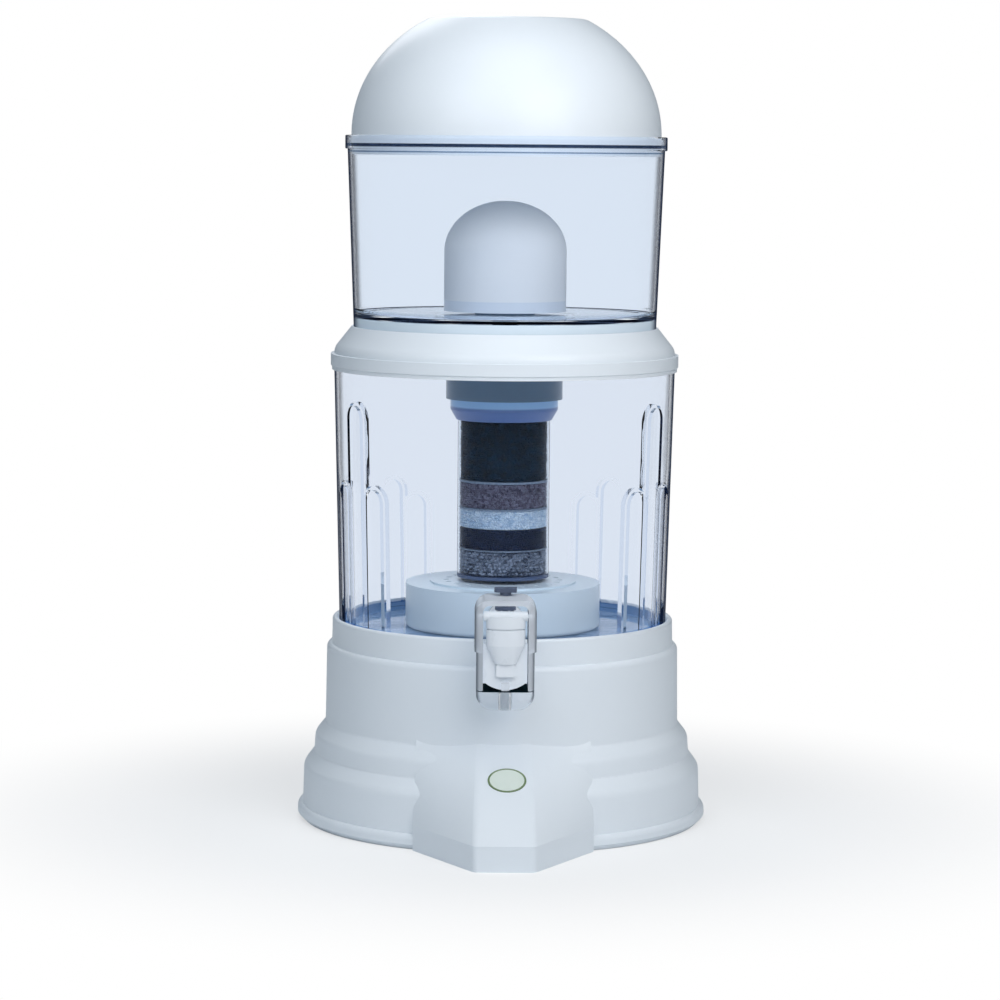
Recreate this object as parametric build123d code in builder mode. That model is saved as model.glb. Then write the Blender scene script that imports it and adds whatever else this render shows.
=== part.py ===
"""A gravity water purifier, built as it comes apart on a bench.

From the floor up: a stepped base with a prow foot, a fluted clear tank with a
lever tap, a white collar, a clear upper tank with a ceramic filter, and a lid.
A cartridge of layered media hangs below the upper tank, inside the lower one.

Millimetres, Z up, origin on the floor under the axis of the tanks, front at -Y.
"""

import os
from math import acos, asin, cos, degrees, radians, sin, sqrt

from build123d import *

os.makedirs("parts", exist_ok=True)

# Clearances
slide_gap = 0.4  # between turned faces that lift apart
thread_gap = 0.1  # between a nut or bonnet and its thread
pin_gap = 0.05  # running fit of the lever on its pin
fixed_gap = 0.02  # between pieces that stay together
fill_gap = 0.2  # between the media and the cartridge wall
quarter_turn = 90  # degrees

# Base
base_height = 149.4
base_wall = 3.0
nest_depth = 10.2  # how deep the lower tank stands in the base
nest_gap = 0.6
rim_wall = 4.7
rim_height = 19.3  # the plain rim above the topmost step
rim_step = 4.5
rim_step_height = 4.0
upper_band_height = 54.5
upper_step = 8.3
upper_step_height = 9.5
middle_band_height = 12.5
middle_step = 8.4
middle_step_height = 10.4
bead_step = 3.8
bead_height = 11.0
bead_round = 4.0
step_round = 9.0  # where a band turns in to the next
crease_round = 2.5
band_draft = 0.8  # how much each band narrows towards its top
deck = 3.0
deck_hole_radius = 40.0
deck_rib = 2.2
deck_rib_depth = 12.0
deck_rib_count = 8
prow_overhang = 57.6  # from the bead to the front facet
prow_front_half = 21.0
prow_side_half = 64.0
prow_flank = 18.0  # height of the upright faces
prow_root_half = 62.0
prow_root_facet_half = 16.0
prow_root_rise = 4.0  # above the foot of the upper band
prow_round = 5.0
prow_root_round = 25.0

# Lower tank
lower_tank_height = 202.8
lower_draft = 4.9  # how much the lower tank narrows towards its foot
lower_rim_radius = 125.7
lower_wall = 2.8
lower_floor = 3.0
lower_foot_round = 5.0
flute_width = 20.0
flute_depth = 3.6
flute_foot = 8.0  # above the foot of the tank
# Each flute's turn from the front in degrees, and the height of its arch above the tank's foot
flutes = ((51.3, 111.0), (61.8, 170.0), (72.3, 111.0), (135.3, 103.0), (145.8, 90.0))

# Collar between the tanks
collar_skirt = 9.6  # reach below the lower tank's rim
collar_apron = 2.6  # of it below the bead
collar_apron_wall = 1.0
collar_bead_wall = 1.9
collar_bead_height = 9.1
collar_bead_foot_round = 0.8
collar_bead_round = 1.6
collar_wall = 2.5
collar_shoulder_height = 19.9
collar_shoulder_upright = 4.0
collar_shoulder_round = 10.0
collar_lip = 1.0
collar_seat_rise = 12.0  # from the lower tank's rim to the upper tank's foot
collar_hole_gap = 2.5
collar_hole_lip = 7.0

# Upper tank
upper_skirt = 16.7  # foot to the underside of the floor
upper_floor = 3.0
upper_depth = 123.8  # floor to the lid's ledge
upper_inset = 14.7  # from the lower tank's rim in to the upper tank's foot
upper_draft = 5.4
upper_wall = 2.6
upper_corner_round = 4.0
lip_height = 6.0
lip_wall = 2.2
lip_bead = 1.6
lip_bead_height = 10.0
lip_bead_round = 0.9
socket_boss_step = 4.9
socket_boss_height = 10.0
socket_shoulder_drop = 12.2  # underside of the floor to the gasket's shoulder
socket_depth = 32.7
socket_wall = 3.2

# Lid
lid_flange_step = 1.9  # flange outside the dome's foot
lid_height = 91.0
lid_wall = 2.5
lid_band = 7.0
lid_crown_inset = 55.8  # from the dome's foot in to the flat on top
lid_crown_round = 9.0
lid_flange_height = 4.0
lid_plug_depth = 8.0
lid_plug_wall = 2.0

# Ceramic filter
ceramic_radius = 45.0
ceramic_wall = 8.0
ceramic_straight = 35.7
ceramic_cap = 37.0
ceramic_crown_radius = 4.0
ceramic_base_height = 8.0
ceramic_spigot = 4.0
ceramic_gasket_thickness = 2.0
ceramic_gasket_radius = 22.0
stem_radius = 8.5
stem_bore_radius = 4.0
stem_overrun = 3.5  # past the wing nut
washer_thickness = 2.0
washer_radius = 17.0
wing_hub_radius = 13.0
wing_hub_height = 10.0
wing_reach = 24.0
wing_thickness = 4.5
wing_round = 3.0

# Cartridge
cap_radius = 43.0
cap_wall = 3.5
cap_gasket_thickness = 2.5
cap_height = 45.0  # of the wide part
cap_neck_wall = 5.7
cap_neck_height = 15.3
cap_taper = 7.5  # height of the cone at the neck's foot
cap_foot_wall = 1.4
cap_web = 3.0
cap_funnel = 6.0
cap_inlet_radius = 3.0
cap_inlet_pitch_radius = 20.0
cap_inlet_count = 8
shell_radius = 34.0
shell_wall = 1.2
shell_grip = 7.0  # how far the shell goes into the neck
strainer_thickness = 2.5
strainer_clearance = 2.9  # above the stone case
strainer_slot = 2.2
strainer_slot_length = 11.0
strainer_slot_pitch_radius = 17.0
strainer_slot_count = 16
gravel_height = 18.6
gravel_pad = 0.8
fine_carbon_height = 15.3
silica_height = 14.2
silica_pad = 1.0
mineral_sand_height = 18.5
sand_pad = 1.5
cap_pad = 3.0

# Stone case
case_radius = 72.0
case_height = 30.0
case_wall = 2.0
case_round = 3.0
case_lid_flange = 2.5
case_lid_plug = 4.0
case_crown_radius = 54.0
case_crown_height = 1.5
case_hole_radius = 2.4
case_hole_ring_radii = (16.0, 29.0, 42.0)
case_hole_counts = (8, 14, 20)
stone_radius = 9.6
stone_gap = 1.0
stone_rings = 2

# Tap
tap_rise = 21.3  # tank floor to the shank's axis
boss_clearance = 0.8  # from the base's rim to the tank's boss
boss_proud = 1.2
flange_inset = 0.6
flange_thickness = 3.0
outer_gasket_thickness = 2.0
inner_gasket_thickness = 1.5
shank_radius = 7.0
shank_hole_gap = 0.3
shank_overrun = 3.0
inlet_radius = 3.5
nut_flats = 20.0
nut_thickness = 6.0
neck_radius = 6.0
barrel_reach = 27.5  # boss face to the barrel's axis
barrel_radius = 9.5
barrel_drop = 43.0  # shank's axis to the barrel's foot
barrel_headroom = 0.3
chamber_radius = 7.0
seat_rise = 12.5  # barrel's foot to the valve seat
outlet_radius = 3.0
nozzle_radius = 4.5
nozzle_grip = 8.0
nozzle_flange = 2.0
nozzle_flange_height = 2.0
bonnet_flange = 1.5
bonnet_plug = 3.5
seal_radius = 6.0
seal_height = 4.5
valve_stem_radius = 2.0
stem_collar_radius = 7.4
stem_collar_height = 2.0
lift_gap = 0.15  # lever nose to stem collar
thumb_width = 15.8
thumb_depth = 9.0
thumb_height = 3.0
thumb_round = 3.0
thumb_neck_radius = 4.0
thumb_neck_height = 2.0
thumb_gap = 0.5
spring_radius = 4.2
spring_wire_radius = 0.5
spring_turns = 7
nose_radius = 1.2
nose_gap = 0.4
toe_inner = 3.2
toe_outer = 6.0
lever_arm = 24.0  # stem axis to the lever's pin
lever_swing = 9.0  # degrees
lever_side_gap = 0.5
lever_plate = 4.0
lever_plate_back = 4.7  # behind the pin's axis
lever_plate_top = 19.4  # below the pin's axis
lever_plate_bow = 5.9
lever_foot_gap = 0.6
lever_tongue_half = 13.6
lever_tongue_depth = 7.5
lever_tongue_straight = 20.4
lever_tongue_taper = 13.0
lever_tongue_tip_half = 7.6
lever_tongue_tip_depth = 4.6
lever_step_half = 6.4
lever_step_height = 9.0
lever_step_depth = 3.0
lever_groove_drop = 9.4
lever_groove = 1.0
hub_radius = 3.4
pin_radius = 1.5
pin_inset = 1.5  # pin ends inside the hood's faces
hood_gap = 0.4
hood_roof = 3.8
hood_leg = 5.8
hood_width = 43.0
hood_round = 10.0
hood_front = 4.3  # in front of the pin's axis
hood_depth = 38.0
hood_plan_round = 7.0
guard_width = 40.4
guard_foot = 14.5  # below the barrel's foot
guard_foot_round = 12.0
guard_post_width = 5.6
guard_post_height = 6.5
guard_post_depth = 3.8

# Heights worked out from the stack
tank_foot = base_height - nest_depth
tank_floor = tank_foot + lower_floor
tank_rim = tank_foot + lower_tank_height
upper_foot = tank_rim + collar_seat_rise
floor_underside = upper_foot + upper_skirt
upper_floor_top = floor_underside + upper_floor
lid_ledge = upper_floor_top + upper_depth
lid_top = lid_ledge + lid_height

# Radii of the two tanks
lower_foot_radius = lower_rim_radius - lower_draft
upper_foot_radius = lower_rim_radius - upper_inset
upper_rim_radius = upper_foot_radius + upper_draft


def lower_radius(height):
    """Outside radius of the lower tank at a height above the floor."""
    slope = (lower_rim_radius - lower_foot_radius) / lower_tank_height
    return lower_foot_radius + (height - tank_foot) * slope


def upper_radius(height):
    """Outside radius of the upper tank at a height above the floor."""
    slope = (upper_rim_radius - upper_foot_radius) / (lid_ledge - upper_foot)
    return upper_foot_radius + (height - upper_foot) * slope


# Base: stepped bands, each turned in to the next by a sloping shoulder
nest_radius = lower_radius(base_height) + nest_gap
rim_radius = nest_radius + rim_wall
upper_band_radius = rim_radius + rim_step
middle_band_radius = upper_band_radius + upper_step
lower_band_radius = middle_band_radius + middle_step
bead_radius = lower_band_radius + bead_step
prow_reach = bead_radius + prow_overhang
rim_foot = base_height - rim_height
upper_band_top = rim_foot - rim_step_height
upper_band_foot = upper_band_top - upper_band_height
middle_band_top = upper_band_foot - upper_step_height
middle_band_foot = middle_band_top - middle_band_height
lower_band_top = middle_band_foot - middle_step_height
deck_underside = tank_foot - deck
prow_root = upper_band_foot + prow_root_rise
prow_side_y = -sqrt(bead_radius**2 - prow_side_half**2)
prow_root_y = -sqrt(upper_band_radius**2 - prow_root_half**2)
prow_root_facet_y = -sqrt(upper_band_radius**2 - prow_root_facet_half**2)


def prow_outline(side_half, side_y, front_half, front_y):
    """Corners of one level of the prow, from the axis out to the front facet and back."""
    right = [(side_half, 0), (side_half, side_y), (front_half, front_y)]
    left = [(-x, y) for x, y in reversed(right)]
    return right + left


prow_foot_outline = prow_outline(prow_side_half, prow_side_y, prow_front_half, -prow_reach)
prow_root_outline = prow_outline(prow_root_half, prow_root_y, prow_root_facet_half, prow_root_facet_y)

with BuildPart() as prow:
    with BuildSketch() as flank_outline:
        with BuildLine():
            Polyline(*prow_foot_outline, close=True)
        make_face()
        fillet(flank_outline.vertices().group_by(Axis.Y)[0], prow_round)
    extrude(amount=prow_flank)
    with BuildSketch(Plane.XY.offset(prow_flank)) as slope_foot:
        with BuildLine():
            Polyline(*prow_foot_outline, close=True)
        make_face()
        fillet(slope_foot.vertices().group_by(Axis.Y)[0], prow_round)
    with BuildSketch(Plane.XY.offset(prow_root)) as slope_root:
        with BuildLine():
            Polyline(*prow_root_outline, close=True)
        make_face()
        fillet(slope_root.vertices().group_by(Axis.Y)[0], prow_root_round)
    loft(ruled=True)

with BuildPart() as base_outside:
    with BuildSketch(Plane.XZ) as base_section:
        with BuildLine():
            Line((0, 0), (bead_radius - bead_round, 0))
            Line((bead_radius - bead_round, 0), (bead_radius, bead_round))
            Line((bead_radius, bead_round), (bead_radius, bead_height - bead_step))
            RadiusArc((bead_radius, bead_height - bead_step), (lower_band_radius, bead_height), -bead_step)
            Line((lower_band_radius, bead_height), (lower_band_radius - band_draft, lower_band_top))
            Line((lower_band_radius - band_draft, lower_band_top), (middle_band_radius, middle_band_foot))
            Line((middle_band_radius, middle_band_foot), (middle_band_radius - band_draft, middle_band_top))
            Line((middle_band_radius - band_draft, middle_band_top), (upper_band_radius, upper_band_foot))
            Line((upper_band_radius, upper_band_foot), (upper_band_radius - band_draft, upper_band_top))
            EllipticalCenterArc(
                (rim_radius, upper_band_top),
                rim_step - band_draft,
                rim_step_height,
                arc_size=quarter_turn,
            )
            Line((rim_radius, rim_foot), (rim_radius - band_draft / 2, base_height - rim_wall / 2))
            ThreePointArc(
                (rim_radius - band_draft / 2, base_height - rim_wall / 2),
                (nest_radius + (rim_wall - band_draft / 2) / 2, base_height),
                (nest_radius, base_height - rim_wall / 2),
            )
            Line((nest_radius, base_height - rim_wall / 2), (nest_radius, tank_foot))
            Line((nest_radius, tank_foot), (0, tank_foot))
            Line((0, tank_foot), (0, 0))
        make_face()
        for bend in (
            Vector(lower_band_radius - band_draft, lower_band_top),
            Vector(middle_band_radius - band_draft, middle_band_top),
        ):
            fillet(base_section.vertices().sort_by_distance(bend)[0], step_round)
        for crease in (
            Vector(middle_band_radius, middle_band_foot),
            Vector(upper_band_radius, upper_band_foot),
        ):
            fillet(base_section.vertices().sort_by_distance(crease)[0], crease_round)
    revolve(axis=Axis.Z)
    add(prow.part)

with BuildPart() as base_hollow:
    with BuildSketch(Plane.XZ):
        with BuildLine():
            Polyline(
                (0, 0),
                (lower_band_radius - base_wall, 0),
                (lower_band_radius - band_draft - base_wall, lower_band_top),
                (middle_band_radius - base_wall, middle_band_foot - base_wall),
                (middle_band_radius - band_draft - base_wall, middle_band_top),
                (upper_band_radius - base_wall, upper_band_foot - base_wall),
                (upper_band_radius - band_draft - base_wall, upper_band_top - base_wall),
                (rim_radius - base_wall, deck_underside),
                (0, deck_underside),
                close=True,
            )
        make_face()
    revolve(axis=Axis.Z)
    with BuildSketch():
        with BuildLine():
            Polyline(*prow_foot_outline, close=True)
        make_face()
        offset(amount=-base_wall, kind=Kind.INTERSECTION, mode=Mode.REPLACE)
    extrude(amount=prow_flank - base_wall)
    with BuildSketch(Plane.XY.offset(prow_flank - base_wall)):
        with BuildLine():
            Polyline(*prow_foot_outline, close=True)
        make_face()
        offset(amount=-base_wall, kind=Kind.INTERSECTION, mode=Mode.REPLACE)
    with BuildSketch(Plane.XY.offset(prow_root - base_wall)):
        with BuildLine():
            Polyline(*prow_root_outline, close=True)
        make_face()
        offset(amount=-base_wall, kind=Kind.INTERSECTION, mode=Mode.REPLACE)
    loft(ruled=True)

with BuildPart() as base:
    add(base_outside.part)
    add(base_hollow.part, mode=Mode.SUBTRACT)
    with BuildSketch(Plane.XY.offset(deck_underside)):
        Circle(deck_hole_radius)
    extrude(amount=deck, mode=Mode.SUBTRACT)
    rib_length = rim_radius - base_wall / 2 - deck_hole_radius
    with BuildSketch(Plane.XY.offset(deck_underside - deck_rib_depth)):
        with PolarLocations(deck_hole_radius + rib_length / 2, deck_rib_count):
            Rectangle(rib_length, deck_rib)
    extrude(amount=deck_rib_depth)
base.part.label = "base"
export_step(base.part, "parts/base.step")

# Lower tank: a drafted cup, fluted on both sides, with a flat boss for the tap
shank_height = tank_floor + tap_rise
rim_above_floor = base_height - tank_floor
boss_radius = tap_rise - rim_above_floor - boss_clearance
boss_face = lower_radius(shank_height) + boss_proud
boss_inside = lower_radius(shank_height) - lower_wall - boss_proud
flute_start = lower_foot_radius - flute_depth - 2 * lower_wall
flute_reach = lower_rim_radius - flute_start + lower_wall
flute_turns = [(-90 + side * turn, top) for turn, top in flutes for side in (-1, 1)]


def flute_plane(turn):
    """Plane that faces outwards at a turn about the axis, with its own Y upwards."""
    outwards = (cos(radians(turn)), sin(radians(turn)), 0)
    sideways = (-sin(radians(turn)), cos(radians(turn)), 0)
    return Plane(origin=Vector(*outwards) * flute_start, x_dir=sideways, z_dir=outwards)


def wall_section(inset_low, inset_high):
    """Corners of a drafted sleeve between two insets from the tank's outside."""
    return (
        (lower_foot_radius - inset_low, tank_foot),
        (lower_rim_radius - inset_low, tank_rim),
        (lower_rim_radius - inset_high, tank_rim),
        (lower_foot_radius - inset_high, tank_foot),
    )


with BuildPart() as flute_lining:
    for turn, top in flute_turns:
        half = flute_width / 2 + lower_wall
        foot = tank_foot + flute_foot - lower_wall
        spring_line = tank_foot + top - flute_width / 2
        with BuildSketch(flute_plane(turn)):
            with BuildLine():
                Polyline((-half, spring_line), (-half, foot), (half, foot), (half, spring_line))
                ThreePointArc((half, spring_line), (0, spring_line + half), (-half, spring_line))
            make_face()
        extrude(amount=flute_reach)
    with BuildSketch(Plane.XZ):
        with BuildLine():
            Polyline(*wall_section(lower_wall / 2, flute_depth + lower_wall), close=True)
        make_face()
    revolve(axis=Axis.Z, mode=Mode.INTERSECT)

with BuildPart() as flute_hollow:
    for turn, top in flute_turns:
        half = flute_width / 2
        foot = tank_foot + flute_foot
        spring_line = tank_foot + top - half
        with BuildSketch(flute_plane(turn)):
            with BuildLine():
                Polyline((-half, spring_line), (-half, foot), (half, foot), (half, spring_line))
                ThreePointArc((half, spring_line), (0, spring_line + half), (-half, spring_line))
            make_face()
        extrude(amount=flute_reach)
    with BuildSketch(Plane.XZ):
        with BuildLine():
            Polyline(*wall_section(flute_depth, -flute_reach), close=True)
        make_face()
    revolve(axis=Axis.Z, mode=Mode.INTERSECT)

with BuildPart() as lower_tank:
    with BuildSketch(Plane.XZ) as cup_section:
        with BuildLine():
            Polyline(
                (0, tank_foot),
                (lower_foot_radius, tank_foot),
                (lower_rim_radius, tank_rim),
                (lower_rim_radius - lower_wall, tank_rim),
                (lower_radius(tank_floor) - lower_wall, tank_floor),
                (0, tank_floor),
                close=True,
            )
        make_face()
        foot_corner = cup_section.vertices().group_by(Axis.Y)[0].sort_by(Axis.X)[-1]
        fillet(foot_corner, lower_foot_round)
        floor_corner = Vector(lower_radius(tank_floor) - lower_wall, tank_floor)
        fillet(cup_section.vertices().sort_by_distance(floor_corner)[0], lower_foot_round - lower_wall / 2)
    revolve(axis=Axis.Z)
    add(flute_lining.part)
    add(flute_hollow.part, mode=Mode.SUBTRACT)
    with BuildSketch(Plane.XZ.offset(boss_inside)):
        with Locations((0, shank_height)):
            Circle(boss_radius)
    extrude(amount=boss_face - boss_inside)
    with BuildSketch(Plane.XZ.offset(boss_inside)):
        with Locations((0, shank_height)):
            Circle(shank_radius + shank_hole_gap)
    extrude(amount=boss_face - boss_inside, mode=Mode.SUBTRACT)
lower_tank.part.label = "lower_tank"
export_step(lower_tank.part, "parts/lower_tank.step")

# Collar: caps the lower tank and holds the upper one in a pocket
collar_inside = lower_rim_radius + slide_gap
collar_bead_radius = collar_inside + collar_bead_wall
collar_foot = tank_rim - collar_skirt
collar_bead_foot = collar_foot + collar_apron
collar_bead_top = collar_bead_foot + collar_bead_height
collar_top = collar_bead_top + collar_shoulder_height
pocket_radius = upper_radius(collar_top) + slide_gap
shoulder_centre = pocket_radius + collar_lip
shoulder_foot_radius = collar_bead_radius - collar_bead_round - collar_lip
shoulder_upright_top = collar_bead_top + collar_shoulder_upright
shoulder_slope = (collar_top - shoulder_upright_top) / (shoulder_foot_radius - shoulder_centre)
shoulder_drop = collar_wall * sqrt(1 + shoulder_slope**2)  # upright thickness of the sloping wall
pocket_outside = pocket_radius + collar_wall
hollow_radius = shoulder_foot_radius - collar_wall
hollow_foot = shoulder_upright_top + collar_wall * shoulder_slope - shoulder_drop
hollow_top = collar_top - (pocket_outside - shoulder_centre) * shoulder_slope - shoulder_drop
socket_bore_radius = cap_radius + slide_gap
socket_radius = socket_bore_radius + socket_wall
socket_boss_radius = socket_radius + socket_boss_step
collar_hole_radius = socket_boss_radius + collar_hole_gap
web_underside = upper_foot - collar_wall

with BuildPart() as middle_collar:
    with BuildSketch(Plane.XZ) as collar_section:
        with BuildLine():
            Polyline(
                (hollow_radius, tank_rim),
                (collar_inside, tank_rim),
                (collar_inside, collar_foot),
                (collar_inside + collar_apron_wall, collar_foot),
                (collar_inside + collar_apron_wall, collar_bead_foot),
                (collar_bead_radius, collar_bead_foot),
                (collar_bead_radius, collar_bead_top),
                (shoulder_foot_radius, collar_bead_top),
                (shoulder_foot_radius, shoulder_upright_top),
                (shoulder_centre, collar_top),
                (pocket_radius, collar_top),
                (pocket_radius, upper_foot),
                (collar_hole_radius, upper_foot),
                (collar_hole_radius, web_underside - collar_hole_lip),
                (collar_hole_radius + collar_wall, web_underside - collar_hole_lip),
                (collar_hole_radius + collar_wall, web_underside),
                (pocket_outside, web_underside),
                (pocket_outside, hollow_top),
                (hollow_radius, hollow_foot),
                close=True,
            )
        make_face()
        bead_corners = collar_section.vertices().group_by(Axis.X)[-1].sort_by(Axis.Y)
        fillet(bead_corners[0], collar_bead_foot_round)
        fillet(bead_corners[-1], collar_bead_round)
        bend = Vector(shoulder_foot_radius, shoulder_upright_top)
        fillet(collar_section.vertices().sort_by_distance(bend)[0], collar_shoulder_round)
    revolve(axis=Axis.Z)
middle_collar.part.label = "middle_collar"
export_step(middle_collar.part, "parts/middle_collar.step")

# Upper tank: a drafted cup on a skirt, with a threaded socket under its floor
lip_bead_radius = upper_rim_radius + lip_bead
lip_inside = lip_bead_radius - lip_wall
lip_top = lid_ledge + lip_height
lip_bead_foot = lip_top - lip_bead_height
cup_radius = cap_radius - cap_wall
socket_shoulder = floor_underside - socket_shoulder_drop
socket_foot = floor_underside - socket_depth
socket_boss_foot = floor_underside - socket_boss_height

with BuildPart() as upper_tank:
    with BuildSketch(Plane.XZ) as tank_section:
        with BuildLine():
            Polyline(
                (upper_foot_radius, upper_foot),
                (upper_radius(lip_bead_foot), lip_bead_foot),
                (lip_bead_radius, lip_bead_foot),
                (lip_bead_radius, lip_top),
                (lip_inside, lip_top),
                (lip_inside, lid_ledge),
                (upper_rim_radius - upper_wall, lid_ledge),
                (upper_radius(upper_floor_top) - upper_wall, upper_floor_top),
                (stem_radius + slide_gap, upper_floor_top),
                (stem_radius + slide_gap, floor_underside),
                (cup_radius, floor_underside),
                (cup_radius, socket_shoulder),
                (socket_bore_radius, socket_shoulder),
                (socket_bore_radius, socket_foot),
                (socket_radius, socket_foot),
                (socket_radius, socket_boss_foot),
                (socket_boss_radius, socket_boss_foot),
                (socket_boss_radius, floor_underside),
                (upper_radius(floor_underside) - upper_wall, floor_underside),
                (upper_foot_radius - upper_wall, upper_foot),
                close=True,
            )
        make_face()
        bead_corners = tank_section.vertices().filter_by_position(Axis.X, lip_bead_radius, lip_bead_radius)
        fillet(bead_corners, lip_bead_round)
        corner_height = upper_floor_top
        floor_corners = tank_section.vertices().filter_by_position(Axis.Y, corner_height, corner_height)
        fillet(floor_corners.sort_by(Axis.X)[-1], upper_corner_round)
    revolve(axis=Axis.Z)
upper_tank.part.label = "upper_tank"
export_step(upper_tank.part, "parts/upper_tank.step")

# Lid: a dome with a flat crown, a flange on the tank's ledge and a locating plug
lid_flange_radius = lip_inside - slide_gap
lid_radius = lid_flange_radius - lid_flange_step
lid_crown_radius = lid_radius - lid_crown_inset
lid_band_top = lid_ledge + lid_band
crown_rise = lid_top - lid_band_top
crown_turn = degrees(acos(lid_crown_radius / lid_radius))
lid_dome_half_height = crown_rise / sin(radians(crown_turn))
inner_half_height = lid_dome_half_height - lid_wall
inner_turn = degrees(asin((crown_rise - lid_wall) / inner_half_height))
inner_crown_radius = (lid_radius - lid_wall) * cos(radians(inner_turn))
plug_foot = lid_ledge - lid_plug_depth
plug_radius = upper_radius(plug_foot) - upper_wall - slide_gap

with BuildPart() as lid:
    with BuildSketch(Plane.XZ) as dome_section:
        with BuildLine():
            Polyline(
                (0, lid_top - lid_wall),
                (0, lid_top),
                (lid_crown_radius, lid_top),
            )
            EllipticalCenterArc(
                (0, lid_band_top),
                lid_radius,
                lid_dome_half_height,
                arc_size=crown_turn,
            )
            Polyline(
                (lid_radius, lid_band_top),
                (lid_radius, lid_ledge + lid_flange_height),
                (lid_flange_radius, lid_ledge + lid_flange_height),
                (lid_flange_radius, lid_ledge),
                (plug_radius, lid_ledge),
                (plug_radius, plug_foot),
                (plug_radius - lid_plug_wall, plug_foot),
                (plug_radius - lid_plug_wall, lid_ledge + lid_flange_height),
                (lid_radius - lid_wall, lid_band_top),
            )
            EllipticalCenterArc(
                (0, lid_band_top),
                lid_radius - lid_wall,
                inner_half_height,
                arc_size=inner_turn,
            )
            Line((inner_crown_radius, lid_top - lid_wall), (0, lid_top - lid_wall))
        make_face()
        crown_corner = dome_section.vertices().group_by(Axis.Y)[-1].sort_by(Axis.X)[-1]
        fillet(crown_corner, lid_crown_round)
    revolve(axis=Axis.Z)
lid.part.label = "lid"
export_step(lid.part, "parts/lid.step")

# Ceramic filter, clamped through the upper tank's floor by a wing nut
ceramic_base_foot = upper_floor_top + ceramic_gasket_thickness
ceramic_base_top = ceramic_base_foot + ceramic_base_height
ceramic_shoulder = ceramic_base_top + ceramic_straight
ceramic_inside = ceramic_radius - ceramic_wall
dome_turn = degrees(acos(ceramic_crown_radius / ceramic_radius))
dome_top = ceramic_shoulder + ceramic_cap * sin(radians(dome_turn))
hollow_cap = ceramic_cap - ceramic_wall
hollow_dome_turn = degrees(acos(ceramic_crown_radius / ceramic_inside))
hollow_dome_top = ceramic_shoulder + hollow_cap * sin(radians(hollow_dome_turn))
washer_foot = floor_underside - washer_thickness
wing_foot = washer_foot - wing_hub_height
stem_foot = wing_foot - stem_overrun

with BuildPart() as ceramic_dome:
    with BuildSketch(Plane.XZ):
        with BuildLine():
            Polyline(
                (ceramic_inside, ceramic_shoulder),
                (ceramic_inside, ceramic_base_top),
                (ceramic_radius, ceramic_base_top),
                (ceramic_radius, ceramic_shoulder),
            )
            EllipticalCenterArc((0, ceramic_shoulder), ceramic_radius, ceramic_cap, arc_size=dome_turn)
            Polyline(
                (ceramic_crown_radius, dome_top),
                (0, dome_top),
                (0, hollow_dome_top),
                (ceramic_crown_radius, hollow_dome_top),
            )
            EllipticalCenterArc((0, ceramic_shoulder), ceramic_inside, hollow_cap, arc_size=hollow_dome_turn)
        make_face()
    revolve(axis=Axis.Z)
ceramic_dome.part.label = "ceramic_dome"
export_step(ceramic_dome.part, "parts/ceramic_dome.step")

with BuildPart() as ceramic_base:
    with BuildSketch(Plane.XZ):
        with BuildLine():
            Polyline(
                (stem_bore_radius, ceramic_base_top + ceramic_spigot),
                (stem_bore_radius, stem_foot),
                (stem_radius, stem_foot),
                (stem_radius, ceramic_base_foot),
                (ceramic_radius, ceramic_base_foot),
                (ceramic_radius, ceramic_base_top),
                (ceramic_inside - fill_gap, ceramic_base_top),
                (ceramic_inside - fill_gap, ceramic_base_top + ceramic_spigot),
                close=True,
            )
        make_face()
    revolve(axis=Axis.Z)
ceramic_base.part.label = "ceramic_base"
export_step(ceramic_base.part, "parts/ceramic_base.step")

with BuildPart() as ceramic_gasket:
    with BuildSketch(Plane.XY.offset(upper_floor_top)):
        Circle(ceramic_gasket_radius)
        Circle(stem_radius + thread_gap, mode=Mode.SUBTRACT)
    extrude(amount=ceramic_gasket_thickness)
ceramic_gasket.part.label = "ceramic_gasket"
export_step(ceramic_gasket.part, "parts/ceramic_gasket.step")

with BuildPart() as floor_washer:
    with BuildSketch(Plane.XY.offset(washer_foot)):
        Circle(washer_radius)
        Circle(stem_radius + thread_gap, mode=Mode.SUBTRACT)
    extrude(amount=washer_thickness)
floor_washer.part.label = "floor_washer"
export_step(floor_washer.part, "parts/floor_washer.step")

with BuildPart() as wing_nut:
    with BuildSketch(Plane.XY.offset(wing_foot)):
        Circle(wing_hub_radius)
    extrude(amount=wing_hub_height)
    with BuildSketch(Plane.XZ.offset(-wing_thickness / 2)):
        with Locations((0, wing_foot + wing_hub_height / 2)):
            RectangleRounded(2 * wing_reach, wing_hub_height, wing_round)
    extrude(amount=wing_thickness)
    with BuildSketch(Plane.XY.offset(wing_foot)):
        Circle(stem_radius + thread_gap)
    extrude(amount=wing_hub_height, mode=Mode.SUBTRACT)
wing_nut.part.label = "wing_nut"
export_step(wing_nut.part, "parts/wing_nut.step")

# Cartridge: a cap that screws into the socket, a clear shell and layered media
cap_top = socket_shoulder - cap_gasket_thickness
cap_step = cap_top - cap_height
cap_foot = cap_step - cap_neck_height
shell_top = cap_foot + shell_grip
crown_top = tank_floor + case_height + case_lid_flange + case_crown_height
shell_foot = crown_top + strainer_clearance + strainer_thickness
shell_length = shell_top - shell_foot
web_top = shell_top + cap_web
cap_neck_radius = shell_radius + cap_neck_wall
media_radius = shell_radius - shell_wall - fill_gap

with BuildPart() as cartridge_gasket:
    with BuildSketch(Plane.XY.offset(cap_top)):
        Circle(cap_radius)
        Circle(cup_radius, mode=Mode.SUBTRACT)
    extrude(amount=cap_gasket_thickness)
cartridge_gasket.part.label = "cartridge_gasket"
export_step(cartridge_gasket.part, "parts/cartridge_gasket.step")

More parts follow.
